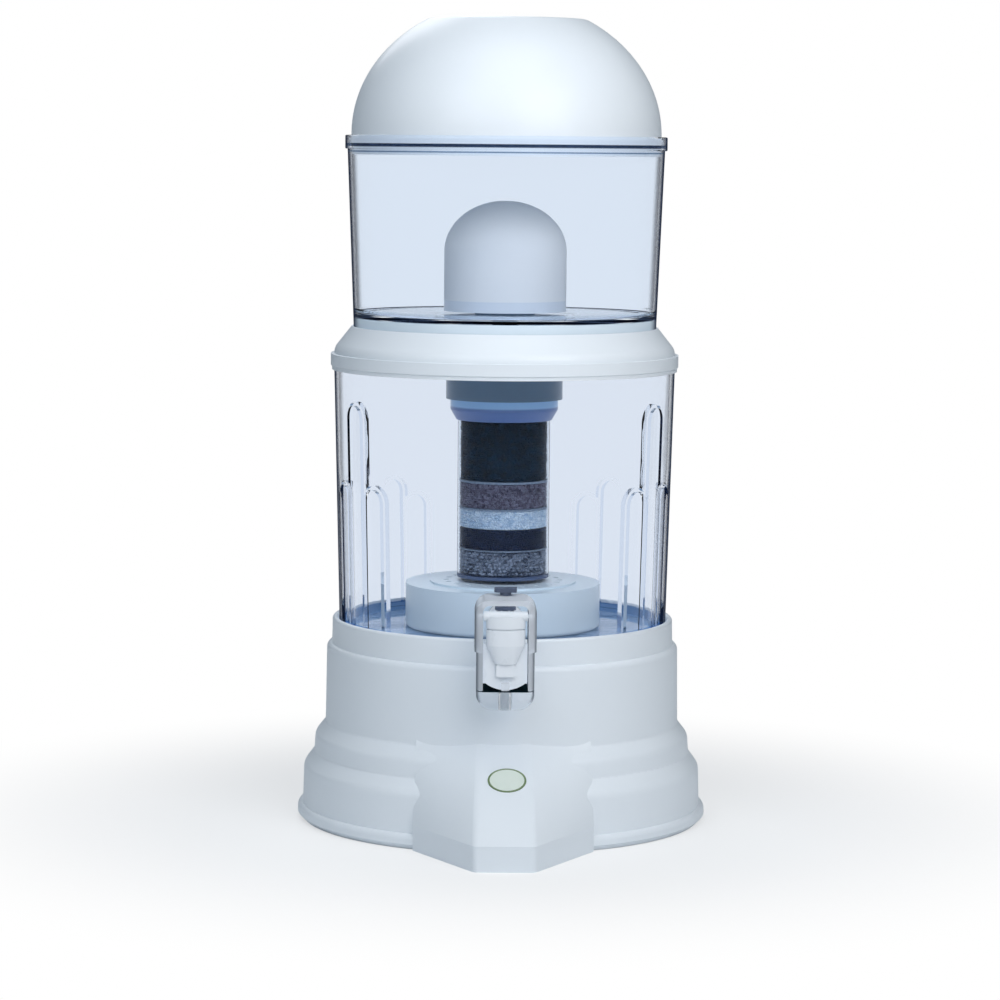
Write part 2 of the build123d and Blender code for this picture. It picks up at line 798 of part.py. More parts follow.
with BuildPart() as cartridge_cap:
    with BuildSketch(Plane.XZ):
        with BuildLine():
            Polyline(
                (0, shell_top),
                (shell_radius + fixed_gap, shell_top),
                (shell_radius + fixed_gap, cap_foot),
                (shell_radius + cap_foot_wall, cap_foot),
                (cap_neck_radius, cap_foot + cap_taper),
                (cap_neck_radius, cap_step),
                (cap_radius, cap_step),
                (cap_radius, cap_top),
                (cup_radius, cap_top),
                (cup_radius, web_top + cap_funnel),
                (cup_radius - cap_funnel, web_top),
                (0, web_top),
                close=True,
            )
        make_face()
    revolve(axis=Axis.Z)
    with BuildSketch(Plane.XY.offset(shell_top)):
        with PolarLocations(cap_inlet_pitch_radius, cap_inlet_count):
            Circle(cap_inlet_radius)
    extrude(amount=cap_web, mode=Mode.SUBTRACT)
cartridge_cap.part.label = "cartridge_cap"
export_step(cartridge_cap.part, "parts/cartridge_cap.step")

with BuildPart() as cartridge_shell:
    with BuildSketch(Plane.XY.offset(shell_foot)):
        Circle(shell_radius)
        Circle(shell_radius - shell_wall, mode=Mode.SUBTRACT)
    extrude(amount=shell_length)
cartridge_shell.part.label = "cartridge_shell"
export_step(cartridge_shell.part, "parts/cartridge_shell.step")

with BuildPart() as cartridge_strainer:
    with BuildSketch(Plane.XY.offset(shell_foot - strainer_thickness)):
        Circle(shell_radius)
        with PolarLocations(strainer_slot_pitch_radius, strainer_slot_count):
            SlotOverall(strainer_slot_length, strainer_slot, mode=Mode.SUBTRACT)
    extrude(amount=strainer_thickness)
cartridge_strainer.part.label = "cartridge_strainer"
export_step(cartridge_strainer.part, "parts/cartridge_strainer.step")

gravel_top = shell_foot + gravel_height
fine_carbon_foot = gravel_top + gravel_pad
fine_carbon_top = fine_carbon_foot + fine_carbon_height
silica_top = fine_carbon_top + silica_height
sand_foot = silica_top + silica_pad
sand_top = sand_foot + mineral_sand_height
carbon_foot = sand_top + sand_pad
carbon_top = shell_top - cap_pad

with BuildPart() as gravel_layer:
    with BuildSketch(Plane.XY.offset(shell_foot)):
        Circle(media_radius)
    extrude(amount=gravel_height)
gravel_layer.part.label = "gravel_layer"
export_step(gravel_layer.part, "parts/gravel_layer.step")

with BuildPart() as fine_carbon_layer:
    with BuildSketch(Plane.XY.offset(fine_carbon_foot)):
        Circle(media_radius)
    extrude(amount=fine_carbon_height)
fine_carbon_layer.part.label = "fine_carbon_layer"
export_step(fine_carbon_layer.part, "parts/fine_carbon_layer.step")

with BuildPart() as silica_layer:
    with BuildSketch(Plane.XY.offset(fine_carbon_top)):
        Circle(media_radius)
    extrude(amount=silica_height)
silica_layer.part.label = "silica_layer"
export_step(silica_layer.part, "parts/silica_layer.step")

with BuildPart() as mineral_sand_layer:
    with BuildSketch(Plane.XY.offset(sand_foot)):
        Circle(media_radius)
    extrude(amount=mineral_sand_height)
mineral_sand_layer.part.label = "mineral_sand_layer"
export_step(mineral_sand_layer.part, "parts/mineral_sand_layer.step")

with BuildPart() as carbon_layer:
    with BuildSketch(Plane.XY.offset(carbon_foot)):
        Circle(media_radius)
    extrude(amount=carbon_top - carbon_foot)
carbon_layer.part.label = "carbon_layer"
export_step(carbon_layer.part, "parts/carbon_layer.step")

# Felt pads between the layers, and one under the cap's web
with BuildPart() as separator_pads:
    for pad_foot, pad_top in (
        (gravel_top, fine_carbon_foot),
        (silica_top, sand_foot),
        (sand_top, carbon_foot),
        (carbon_top, shell_top),
    ):
        with BuildSketch(Plane.XY.offset(pad_foot)):
            Circle(media_radius)
        extrude(amount=pad_top - pad_foot)
separator_pads.part.label = "separator_pads"
export_step(separator_pads.part, "parts/separator_pads.step")

# Stone case on the lower tank's floor
case_top = tank_floor + case_height
case_inside = case_radius - case_wall
case_lid_top = case_top + case_lid_flange
case_plug_radius = case_inside - slide_gap

with BuildPart() as stone_case:
    with BuildSketch(Plane.XZ) as case_section:
        with BuildLine():
            Polyline(
                (0, tank_floor),
                (case_radius, tank_floor),
                (case_radius, case_top),
                (case_inside, case_top),
                (case_inside, tank_floor + case_wall),
                (0, tank_floor + case_wall),
                close=True,
            )
        make_face()
        fillet(case_section.vertices().group_by(Axis.Y)[0].sort_by(Axis.X)[-1], case_round)
    revolve(axis=Axis.Z)
stone_case.part.label = "stone_case"
export_step(stone_case.part, "parts/stone_case.step")

with BuildPart() as stone_case_lid:
    with BuildSketch(Plane.XZ):
        with BuildLine():
            Polyline(
                (0, crown_top),
                (case_crown_radius, crown_top),
                (case_crown_radius, case_lid_top),
                (case_radius, case_lid_top),
                (case_radius, case_top),
                (case_plug_radius, case_top),
                (case_plug_radius, case_top - case_lid_plug),
                (case_plug_radius - case_wall, case_top - case_lid_plug),
                (case_plug_radius - case_wall, case_top),
                (case_crown_radius - case_wall, case_top),
                (case_crown_radius - case_wall, crown_top - case_wall),
                (0, crown_top - case_wall),
                close=True,
            )
        make_face()
    revolve(axis=Axis.Z)
    with BuildSketch(Plane.XY.offset(crown_top - case_wall)):
        for ring_radius, hole_count in zip(case_hole_ring_radii, case_hole_counts):
            with PolarLocations(ring_radius, hole_count):
                Circle(case_hole_radius)
    extrude(amount=case_wall, mode=Mode.SUBTRACT)
stone_case_lid.part.label = "stone_case_lid"
export_step(stone_case_lid.part, "parts/stone_case_lid.step")

# One layer of mineral balls, in hexagonal rings about a middle one
stone_pitch = 2 * stone_radius + stone_gap
stone_height = tank_floor + case_wall + stone_radius + fixed_gap
with BuildPart() as mineral_stones:
    for row in range(-stone_rings, stone_rings + 1):
        row_count = 2 * stone_rings + 1 - abs(row)
        row_y = row * stone_pitch * sin(radians(60))
        with Locations((0, row_y, stone_height)):
            with GridLocations(stone_pitch, stone_pitch, row_count, 1):
                Sphere(stone_radius)
mineral_stones.part.label = "mineral_stones"
export_step(mineral_stones.part, "parts/mineral_stones.step")

# Tap: the shank through the tank's boss, clamped by a nut between two gaskets
flange_radius = boss_radius - flange_inset
flange_back = boss_face + outer_gasket_thickness
flange_front = flange_back + flange_thickness
nut_front = boss_inside - inner_gasket_thickness
nut_back = nut_front - nut_thickness
shank_end = nut_back - shank_overrun
barrel_y = -(boss_face + barrel_reach)
barrel_foot = shank_height - barrel_drop
barrel_top = shank_height + neck_radius + barrel_headroom
seat_height = barrel_foot + seat_rise
bonnet_top = barrel_top + bonnet_flange
bonnet_foot = barrel_top - bonnet_plug

with BuildPart() as tap_valve_body:
    with BuildSketch(Plane.XY.offset(barrel_foot)):
        with Locations((0, barrel_y)):
            Circle(barrel_radius)
    extrude(amount=barrel_top - barrel_foot)
    with BuildSketch(Plane.XZ.offset(flange_front)):
        with Locations((0, shank_height)):
            Circle(neck_radius)
    extrude(amount=-barrel_y - flange_front)
    with BuildSketch(Plane.XZ.offset(flange_back)):
        with Locations((0, shank_height)):
            Circle(flange_radius)
    extrude(amount=flange_thickness)
    with BuildSketch(Plane.XZ.offset(shank_end)):
        with Locations((0, shank_height)):
            Circle(shank_radius)
    extrude(amount=flange_back - shank_end)
    with BuildSketch(Plane.XY.offset(seat_height)):
        with Locations((0, barrel_y)):
            Circle(chamber_radius)
    extrude(amount=barrel_top - seat_height, mode=Mode.SUBTRACT)
    with BuildSketch(Plane.XY.offset(barrel_foot)):
        with Locations((0, barrel_y)):
            Circle(outlet_radius)
    extrude(amount=seat_rise, mode=Mode.SUBTRACT)
    with BuildSketch(Plane.XY.offset(barrel_foot)):
        with Locations((0, barrel_y)):
            Circle(nozzle_radius + fixed_gap)
    extrude(amount=nozzle_grip, mode=Mode.SUBTRACT)
    with BuildSketch(Plane.XZ.offset(shank_end)):
        with Locations((0, shank_height)):
            Circle(inlet_radius)
    extrude(amount=-barrel_y - shank_end, mode=Mode.SUBTRACT)
tap_valve_body.part.label = "tap_valve_body"
export_step(tap_valve_body.part, "parts/tap_valve_body.step")

with BuildPart() as tap_outer_gasket:
    with BuildSketch(Plane.XZ.offset(boss_face)):
        with Locations((0, shank_height)):
            Circle(flange_radius)
            Circle(shank_radius + thread_gap, mode=Mode.SUBTRACT)
    extrude(amount=outer_gasket_thickness)
tap_outer_gasket.part.label = "tap_outer_gasket"
export_step(tap_outer_gasket.part, "parts/tap_outer_gasket.step")

with BuildPart() as tap_inner_gasket:
    with BuildSketch(Plane.XZ.offset(nut_front)):
        with Locations((0, shank_height)):
            Circle(nut_flats / 2)
            Circle(shank_radius + thread_gap, mode=Mode.SUBTRACT)
    extrude(amount=inner_gasket_thickness)
tap_inner_gasket.part.label = "tap_inner_gasket"
export_step(tap_inner_gasket.part, "parts/tap_inner_gasket.step")

with BuildPart() as tap_nut:
    with BuildSketch(Plane.XZ.offset(nut_back)):
        with Locations((0, shank_height)):
            RegularPolygon(nut_flats / 2, 6, major_radius=False)
            Circle(shank_radius + thread_gap, mode=Mode.SUBTRACT)
    extrude(amount=nut_thickness)
tap_nut.part.label = "tap_nut"
export_step(tap_nut.part, "parts/tap_nut.step")

# Valve inside the barrel: seal on its seat, stem, spring and bonnet
seal_top = seat_height + seal_height
nose_height = bonnet_top + nose_gap + nose_radius
collar_under = nose_height + nose_radius + lift_gap
stem_collar_top = collar_under + stem_collar_height
stem_lift = lever_arm * sin(radians(lever_swing))
hood_ceiling = stem_collar_top + stem_lift + hood_gap
hood_top = hood_ceiling + hood_roof
thumb_foot = hood_top + thumb_gap
thumb_plate_foot = thumb_foot + thumb_neck_height

with BuildPart() as valve_seal:
    with BuildSketch(Plane.XY.offset(seat_height)):
        with Locations((0, barrel_y)):
            Circle(seal_radius)
    extrude(amount=seal_height)
valve_seal.part.label = "valve_seal"
export_step(valve_seal.part, "parts/valve_seal.step")

with BuildPart() as valve_stem:
    with BuildSketch(Plane.XY.offset(seal_top)):
        with Locations((0, barrel_y)):
            Circle(valve_stem_radius)
    extrude(amount=thumb_plate_foot - seal_top)
    with BuildSketch(Plane.XY.offset(collar_under)):
        with Locations((0, barrel_y)):
            Circle(stem_collar_radius)
    extrude(amount=stem_collar_height)
    with BuildSketch(Plane.XY.offset(thumb_foot)):
        with Locations((0, barrel_y)):
            Circle(thumb_neck_radius)
    extrude(amount=thumb_neck_height)
    with BuildSketch(Plane.XY.offset(thumb_plate_foot)):
        with Locations((0, barrel_y)):
            RectangleRounded(thumb_width, thumb_depth, thumb_round)
    extrude(amount=thumb_height)
valve_stem.part.label = "valve_stem"
export_step(valve_stem.part, "parts/valve_stem.step")

with BuildPart() as valve_bonnet:
    with BuildSketch(Plane.XY.offset(barrel_top)):
        with Locations((0, barrel_y)):
            Circle(barrel_radius)
    extrude(amount=bonnet_flange)
    with BuildSketch(Plane.XY.offset(bonnet_foot)):
        with Locations((0, barrel_y)):
            Circle(chamber_radius - thread_gap)
    extrude(amount=bonnet_plug)
    with BuildSketch(Plane.XY.offset(bonnet_foot)):
        with Locations((0, barrel_y)):
            Circle(valve_stem_radius + thread_gap)
    extrude(amount=bonnet_plug + bonnet_flange, mode=Mode.SUBTRACT)
valve_bonnet.part.label = "valve_bonnet"
export_step(valve_bonnet.part, "parts/valve_bonnet.step")

# The spring climbs in tilted half turns, which meet along the Y axis
spring_foot = seal_top + spring_wire_radius
spring_rise = bonnet_foot - spring_wire_radius - spring_foot
half_turn_rise = spring_rise / (2 * spring_turns)
with BuildPart() as valve_spring:
    with BuildLine() as spring_path:
        for half_turn in range(2 * spring_turns):
            side = 1 if half_turn % 2 == 0 else -1
            low = spring_foot + half_turn * half_turn_rise
            ThreePointArc(
                (side * spring_radius, barrel_y, low),
                (0, barrel_y + side * spring_radius, low + half_turn_rise / 2),
                (-side * spring_radius, barrel_y, low + half_turn_rise),
            )
    with BuildSketch(Plane(spring_path.line @ 0, z_dir=spring_path.line % 0)):
        Circle(spring_wire_radius)
    sweep()
valve_spring.part.label = "valve_spring"
export_step(valve_spring.part, "parts/valve_spring.step")
print(f"valve spring: gap between turns {2 * (half_turn_rise - spring_wire_radius):.2f} mm")

with BuildPart() as tap_nozzle:
    guard_underside = barrel_foot - guard_foot
    with BuildSketch(Plane.XY.offset(guard_underside)):
        with Locations((0, barrel_y)):
            Circle(nozzle_radius)
    extrude(amount=guard_foot + nozzle_grip)
    with BuildSketch(Plane.XY.offset(guard_underside - nozzle_flange_height)):
        with Locations((0, barrel_y)):
            Circle(nozzle_radius + nozzle_flange)
    extrude(amount=nozzle_flange_height)
    with BuildSketch(Plane.XY.offset(guard_underside - nozzle_flange_height)):
        with Locations((0, barrel_y)):
            Circle(outlet_radius)
    extrude(amount=nozzle_flange_height + guard_foot + nozzle_grip, mode=Mode.SUBTRACT)
tap_nozzle.part.label = "tap_nozzle"
export_step(tap_nozzle.part, "parts/tap_nozzle.step")

# Lever on its pin: a rounded tongue on a plate in front, two toes behind
pin_y = barrel_y - lever_arm
pin_height = nose_height
hood_inner_half = hood_width / 2 - hood_leg
lever_half = hood_inner_half - lever_side_gap
plate_back_y = pin_y + lever_plate_back
plate_front_y = plate_back_y - lever_plate
plate_top = pin_height - lever_plate_top
plate_foot = barrel_foot + lever_foot_gap
plate_corner = plate_foot + lever_plate_bow
tongue_foot = pin_height - lever_tongue_straight
tongue_tip = tongue_foot - lever_tongue_taper
groove_height = pin_height - lever_groove_drop

with BuildPart() as tap_lever:
    with BuildSketch(Plane.XY.offset(tongue_foot)):
        with Locations((0, plate_front_y)):
            Ellipse(lever_tongue_half, lever_tongue_depth)
    extrude(amount=lever_tongue_straight)
    with BuildSketch(Plane.XY.offset(groove_height)):
        with Locations((0, plate_front_y)):
            Ellipse(lever_tongue_half + lever_groove, lever_tongue_depth + lever_groove)
            Ellipse(lever_tongue_half - lever_groove, lever_tongue_depth - lever_groove, mode=Mode.SUBTRACT)
    extrude(amount=lever_groove, mode=Mode.SUBTRACT)
    with BuildSketch(Plane.XY.offset(tongue_foot)):
        with Locations((0, plate_front_y)):
            Ellipse(lever_tongue_half, lever_tongue_depth)
    with BuildSketch(Plane.XY.offset(tongue_tip)):
        with Locations((0, plate_front_y)):
            Ellipse(lever_tongue_tip_half, lever_tongue_tip_depth)
    loft()
    with BuildSketch(Plane.XZ.offset(-plate_front_y)):
        with Locations((0, tongue_tip - lever_step_height / 2)):
            RectangleRounded(2 * lever_step_half, lever_step_height, lever_step_depth / 2)
    extrude(amount=lever_step_depth)
    with BuildSketch(Plane.XZ.offset(-plate_back_y)):
        with BuildLine():
            Polyline(
                (-lever_half, plate_corner),
                (-lever_half, plate_top),
                (lever_half, plate_top),
                (lever_half, plate_corner),
            )
            ThreePointArc((lever_half, plate_corner), (0, plate_foot), (-lever_half, plate_corner))
        make_face()
    extrude(amount=lever_plate)
    split(bisect_by=Plane.XZ.offset(-plate_back_y), keep=Keep.TOP)
    with BuildSketch(Plane.YZ.offset(-lever_half)):
        with Locations((pin_y, pin_height)):
            Circle(hub_radius)
    extrude(amount=2 * lever_half)
    toe_middle = (toe_inner + toe_outer) / 2
    for side in (-1, 1):
        with BuildSketch(Plane.YZ.offset(side * toe_middle)):
            with BuildLine():
                Polyline(
                    (pin_y, pin_height - hub_radius),
                    (barrel_y - stem_collar_radius - nose_radius, pin_height - nose_radius),
                    (barrel_y, pin_height - nose_radius),
                    (barrel_y, pin_height + nose_radius / 2),
                    (barrel_y - stem_collar_radius - nose_radius, pin_height + nose_radius / 2),
                    (pin_y, pin_height + hub_radius),
                    close=True,
                )
            make_face()
            with Locations((barrel_y, pin_height)):
                Circle(nose_radius)
        extrude(amount=(toe_outer - toe_inner) / 2, both=True)
    with BuildSketch(Plane.YZ.offset(-lever_half)):
        with Locations((pin_y, pin_height)):
            Circle(pin_radius + pin_gap)
    extrude(amount=2 * lever_half, mode=Mode.SUBTRACT)
tap_lever.part.label = "tap_lever"
export_step(tap_lever.part, "parts/tap_lever.step")

pin_half = hood_width / 2 - pin_inset
with BuildPart() as lever_pin:
    with BuildSketch(Plane.YZ.offset(-pin_half)):
        with Locations((pin_y, pin_height)):
            Circle(pin_radius)
    extrude(amount=2 * pin_half)
lever_pin.part.label = "lever_pin"
export_step(lever_pin.part, "parts/lever_pin.step")

# Clear hood over the lever and clear guard round the nozzle
hood_front_y = pin_y - hood_front
hood_middle_y = hood_front_y + hood_depth / 2
hood_foot = plate_top - hood_leg

with BuildPart() as tap_hood:
    with BuildSketch(Plane.XZ.offset(-hood_front_y - hood_depth)) as hood_face:
        with Locations((0, hood_foot)):
            Rectangle(hood_width, hood_top - hood_foot, align=(Align.CENTER, Align.MIN))
        fillet(hood_face.vertices().group_by(Axis.Y)[-1], hood_round)
        with BuildSketch(Plane.XY, mode=Mode.PRIVATE) as window:
            with Locations((0, hood_foot)):
                Rectangle(2 * hood_inner_half, hood_ceiling - hood_foot, align=(Align.CENTER, Align.MIN))
            fillet(window.vertices().group_by(Axis.Y)[-1], hood_round - hood_leg)
        add(window.sketch, mode=Mode.SUBTRACT)
    extrude(amount=hood_depth)
    with BuildSketch(Plane.XY.offset(hood_foot)):
        with Locations((0, hood_middle_y)):
            RectangleRounded(hood_width, hood_depth, hood_plan_round)
    extrude(amount=hood_top - hood_foot, mode=Mode.INTERSECT)
    with BuildSketch(Plane.XY.offset(hood_ceiling)):
        with Locations((0, barrel_y)):
            Circle(valve_stem_radius + slide_gap)
    extrude(amount=hood_roof, mode=Mode.SUBTRACT)
    with BuildSketch(Plane.YZ.offset(-pin_half)):
        with Locations((pin_y, pin_height)):
            Circle(pin_radius + fixed_gap)
    extrude(amount=2 * pin_half, mode=Mode.SUBTRACT)
tap_hood.part.label = "tap_hood"
export_step(tap_hood.part, "parts/tap_hood.step")

with BuildPart() as tap_guard:
    with BuildSketch(Plane.XY.offset(guard_underside)):
        with Locations((0, hood_middle_y)):
            RectangleRounded(guard_width, hood_depth, hood_plan_round)
    extrude(amount=hood_foot - guard_underside)
    fillet(tap_guard.edges().group_by(Axis.Z)[0], guard_foot_round)
    with BuildSketch(Plane.XZ.offset(-hood_front_y - hood_depth)):
        with Locations((0, barrel_foot)):
            Rectangle(2 * hood_inner_half, hood_foot - barrel_foot, align=(Align.CENTER, Align.MIN))
    extrude(amount=hood_depth, mode=Mode.SUBTRACT)
    with BuildSketch(Plane.XZ.offset(-hood_front_y - guard_post_depth)):
        with Locations((0, barrel_foot)):
            Rectangle(guard_post_width, guard_post_height, align=(Align.CENTER, Align.MIN))
    extrude(amount=guard_post_depth)
    with BuildSketch(Plane.XY.offset(guard_underside)):
        with Locations((0, barrel_y)):
            Circle(nozzle_radius + fixed_gap)
    extrude(amount=guard_foot, mode=Mode.SUBTRACT)
tap_guard.part.label = "tap_guard"
export_step(tap_guard.part, "parts/tap_guard.step")
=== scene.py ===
import math
import random

import bmesh
import bpy
from mathutils import Matrix, Vector


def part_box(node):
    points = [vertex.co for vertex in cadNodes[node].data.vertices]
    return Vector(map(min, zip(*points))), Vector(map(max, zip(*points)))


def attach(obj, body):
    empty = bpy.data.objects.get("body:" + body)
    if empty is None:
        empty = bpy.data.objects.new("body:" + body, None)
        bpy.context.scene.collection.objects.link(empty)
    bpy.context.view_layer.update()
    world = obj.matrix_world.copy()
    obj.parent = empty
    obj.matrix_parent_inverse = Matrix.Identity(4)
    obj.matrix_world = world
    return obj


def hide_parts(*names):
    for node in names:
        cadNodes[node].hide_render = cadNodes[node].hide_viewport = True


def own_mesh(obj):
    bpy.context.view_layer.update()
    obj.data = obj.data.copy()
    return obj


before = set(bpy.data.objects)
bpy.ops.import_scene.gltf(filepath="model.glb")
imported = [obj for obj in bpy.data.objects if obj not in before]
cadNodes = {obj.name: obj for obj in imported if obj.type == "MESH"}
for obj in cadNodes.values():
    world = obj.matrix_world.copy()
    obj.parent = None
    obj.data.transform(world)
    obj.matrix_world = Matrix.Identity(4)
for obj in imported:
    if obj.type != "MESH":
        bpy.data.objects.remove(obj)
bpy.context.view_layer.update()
scene = bpy.context.scene
scene.view_settings.view_transform = "Standard"
print("frame:", len(cadNodes), "nodes")

# Camera: a little above the middle of the upper tank, looking slightly down
shot = {
    "sensor": 36.0,  # millimetres across
    "distance": 2.5,
    "height": 0.4965,
    "aside": -0.0025,
    "turn": -0.75,  # degrees about the axis
    "lookDown": 5.96,
    "roll": 0.49,
    "viewWidth": 0.7407,  # metres across the picture, at the tanks' axis
}


def setCamera():
    data = bpy.data.cameras.new("photoCamera")
    data.sensor_width = shot["sensor"]
    tilted = math.cos(math.radians(shot["lookDown"]))
    data.lens = shot["sensor"] * shot["distance"] / shot["viewWidth"] / tilted
    data.clip_start = 0.05
    data.dof.use_dof = False
    camera = bpy.data.objects.new("photoCamera", data)
    scene.collection.objects.link(camera)
    tilt = Matrix.Rotation(math.radians(90 - shot["lookDown"]), 4, "X")
    roll = Matrix.Rotation(math.radians(shot["roll"]), 4, "Z")
    spot = Matrix.Translation((shot["aside"], -shot["distance"], shot["height"]))
    turn = Matrix.Rotation(math.radians(shot["turn"]), 4, "Z")
    camera.matrix_world = turn @ spot @ tilt @ roll
    scene.camera = camera


setCamera()
print("camera set")


# Node helpers
def place(tree, kind, x, y, **values):
    node = tree.nodes.new(kind)
    node.location = (x, y)
    for key, value in values.items():
        if hasattr(node, key):
            setattr(node, key, value)
        else:
            node.inputs[key].default_value = value
    return node


def setSockets(node, values):
    for key, value in values.items():
        node.inputs[key].default_value = value


def newMaterial(name):
    material = bpy.data.materials.new(name)
    material.use_nodes = True
    tree = material.node_tree
    tree.nodes.clear()
    output = place(tree, "ShaderNodeOutputMaterial", 900, 0)
    skin = place(tree, "ShaderNodeBsdfPrincipled", 500, 0)
    tree.links.new(skin.outputs["BSDF"], output.inputs["Surface"])
    return material, tree, skin, output


def useGroup(tree, group, x, y, **values):
    node = tree.nodes.new("ShaderNodeGroup")
    node.node_tree = group
    node.location = (x, y)
    for key, value in values.items():
        node.inputs[key].default_value = value
    return node


def startGroup(name, inputs, outputs):
    group = bpy.data.node_groups.new(name, "ShaderNodeTree")
    for label, kind, value in inputs:
        socket = group.interface.new_socket(name=label, in_out="INPUT", socket_type=kind)
        socket.default_value = value
    for label, kind in outputs:
        group.interface.new_socket(name=label, in_out="OUTPUT", socket_type=kind)
    ins = place(group, "NodeGroupInput", -900, 0)
    outs = place(group, "NodeGroupOutput", 700, 0)
    return group, ins, outs


def shadeByValue(tree, value, dark, light, x, y):
    ramp = place(tree, "ShaderNodeMix", x, y, data_type="RGBA")
    # the colour sockets of this node are the third pair
    ramp.inputs[6].default_value = (*dark, 1)
    ramp.inputs[7].default_value = (*light, 1)
    tree.links.new(value, ramp.inputs[0])
    return ramp.outputs[2]


def rangeOf(tree, value, low, high, x, y):
    node = place(tree, "ShaderNodeMapRange", x, y)
    setSockets(node, {"To Min": low, "To Max": high})
    tree.links.new(value, node.inputs["Value"])
    return node.outputs["Result"]


def bumpFrom(tree, skin, height, strength, distance, x, y):
    node = place(tree, "ShaderNodeBump", x, y)
    setSockets(node, {"Strength": strength, "Distance": distance})
    tree.links.new(height, node.inputs["Height"])
    tree.links.new(node.outputs["Normal"], skin.inputs["Normal"])


# Moulded plastic: slow clouding and a very fine grain
def buildMouldGroup():
    group, ins, outs = startGroup(
        "mouldedSurface",
        [("Cloud Scale", "NodeSocketFloat", 9.0), ("Grain Scale", "NodeSocketFloat", 900.0)],
        [("Cloud", "NodeSocketFloat"), ("Grain", "NodeSocketFloat")],
    )
    where = place(group, "ShaderNodeTexCoord", -700, 0)
    cloud = place(group, "ShaderNodeTexNoise", -400, 150)
    setSockets(cloud, {"Detail": 4.0, "Roughness": 0.55})
    grain = place(group, "ShaderNodeTexNoise", -400, -150)
    setSockets(grain, {"Detail": 3.0, "Roughness": 0.6})
    for texture, label in ((cloud, "Cloud Scale"), (grain, "Grain Scale")):
        group.links.new(where.outputs["Object"], texture.inputs["Vector"])
        group.links.new(ins.outputs[label], texture.inputs["Scale"])
    group.links.new(cloud.outputs["Fac"], outs.inputs["Cloud"])
    group.links.new(grain.outputs["Fac"], outs.inputs["Grain"])
    return group


# Loose grains: a random value for each cell, and its rounded height
def buildGrainGroup():
    group, ins, outs = startGroup(
        "looseGrains",
        [("Scale", "NodeSocketFloat", 400.0)],
        [("Pick", "NodeSocketFloat"), ("Height", "NodeSocketFloat")],
    )
    where = place(group, "ShaderNodeTexCoord", -700, 0)
    cells = place(group, "ShaderNodeTexVoronoi", -400, 0)
    pick = place(group, "ShaderNodeSeparateColor", -100, 150)
    turnOver = place(group, "ShaderNodeMath", -100, -150, operation="SUBTRACT")
    turnOver.inputs[0].default_value = 1.0
    group.links.new(where.outputs["Object"], cells.inputs["Vector"])
    group.links.new(ins.outputs["Scale"], cells.inputs["Scale"])
    group.links.new(cells.outputs["Color"], pick.inputs["Color"])
    group.links.new(cells.outputs["Distance"], turnOver.inputs[1])
    group.links.new(pick.outputs["Red"], outs.inputs["Pick"])
    group.links.new(turnOver.outputs["Value"], outs.inputs["Height"])
    return group


# A level band: one between two heights, fading over a short way at both ends
def buildLevelGroup():
    group, ins, outs = startGroup(
        "levelBand",
        [("Low", "NodeSocketFloat", 0.0), ("High", "NodeSocketFloat", 1.0),
         ("Fade", "NodeSocketFloat", 0.001)],
        [("Mask", "NodeSocketFloat")],
    )
    where = place(group, "ShaderNodeTexCoord", -700, 200)
    split = place(group, "ShaderNodeSeparateXYZ", -500, 200)
    group.links.new(where.outputs["Object"], split.inputs["Vector"])
    both = place(group, "ShaderNodeMath", 400, 0, operation="MULTIPLY")
    for slot, label, first, second in ((0, "Low", 0, 1), (1, "High", 1, 0)):
        edge = place(group, "ShaderNodeMath", -500, -200 * slot, operation="ADD")
        group.links.new(ins.outputs[label], edge.inputs[0])
        group.links.new(ins.outputs["Fade"], edge.inputs[1])
        step = place(group, "ShaderNodeMapRange", 0, -200 * slot, interpolation_type="SMOOTHSTEP")
        setSockets(step, {"To Min": first, "To Max": second})
        group.links.new(split.outputs["Z"], step.inputs["Value"])
        group.links.new(ins.outputs[label], step.inputs["From Min"])
        group.links.new(edge.outputs["Value"], step.inputs["From Max"])
        group.links.new(step.outputs["Result"], both.inputs[slot])
    group.links.new(both.outputs["Value"], outs.inputs["Mask"])
    return group


mouldGroup = buildMouldGroup()
grainGroup = buildGrainGroup()
levelGroup = buildLevelGroup()


def paintBands(tree, colour, bands, x, y):
    for i, band in enumerate(bands):
        level = useGroup(tree, levelGroup, x, y + 180 * i)
        setSockets(level, {"Low": band["low"], "High": band["high"], "Fade": band["fade"]})
        coat = place(tree, "ShaderNodeMix", x + 200, y + 180 * i, data_type="RGBA")
        tree.links.new(level.outputs["Mask"], coat.inputs[0])
        tree.links.new(colour, coat.inputs[6])
        coat.inputs[7].default_value = (*band["colour"], 1)
        colour = coat.outputs[2]
    return colour


def plasticFinish(name, look):
    material, tree, skin, output = newMaterial(name)
    surface = useGroup(tree, mouldGroup, -300, 0)
    setSockets(surface, {"Cloud Scale": look["cloudScale"], "Grain Scale": look["grainScale"]})
    colour = shadeByValue(tree, surface.outputs["Cloud"], look["dark"], look["light"], 0, 200)
    colour = paintBands(tree, colour, look.get("bands", ()), 0, 400)
    tree.links.new(colour, skin.inputs["Base Color"])
    rough = rangeOf(tree, surface.outputs["Cloud"], look["rough"][0], look["rough"][1], 0, 0)
    tree.links.new(rough, skin.inputs["Roughness"])
    bumpFrom(tree, skin, surface.outputs["Grain"], look["bump"], 0.0004, 200, -200)
    setSockets(skin, {"Coat Weight": look["coat"], "Coat Roughness": 0.12,
                      "IOR": 1.5, "Specular IOR Level": 0.4})
    return material


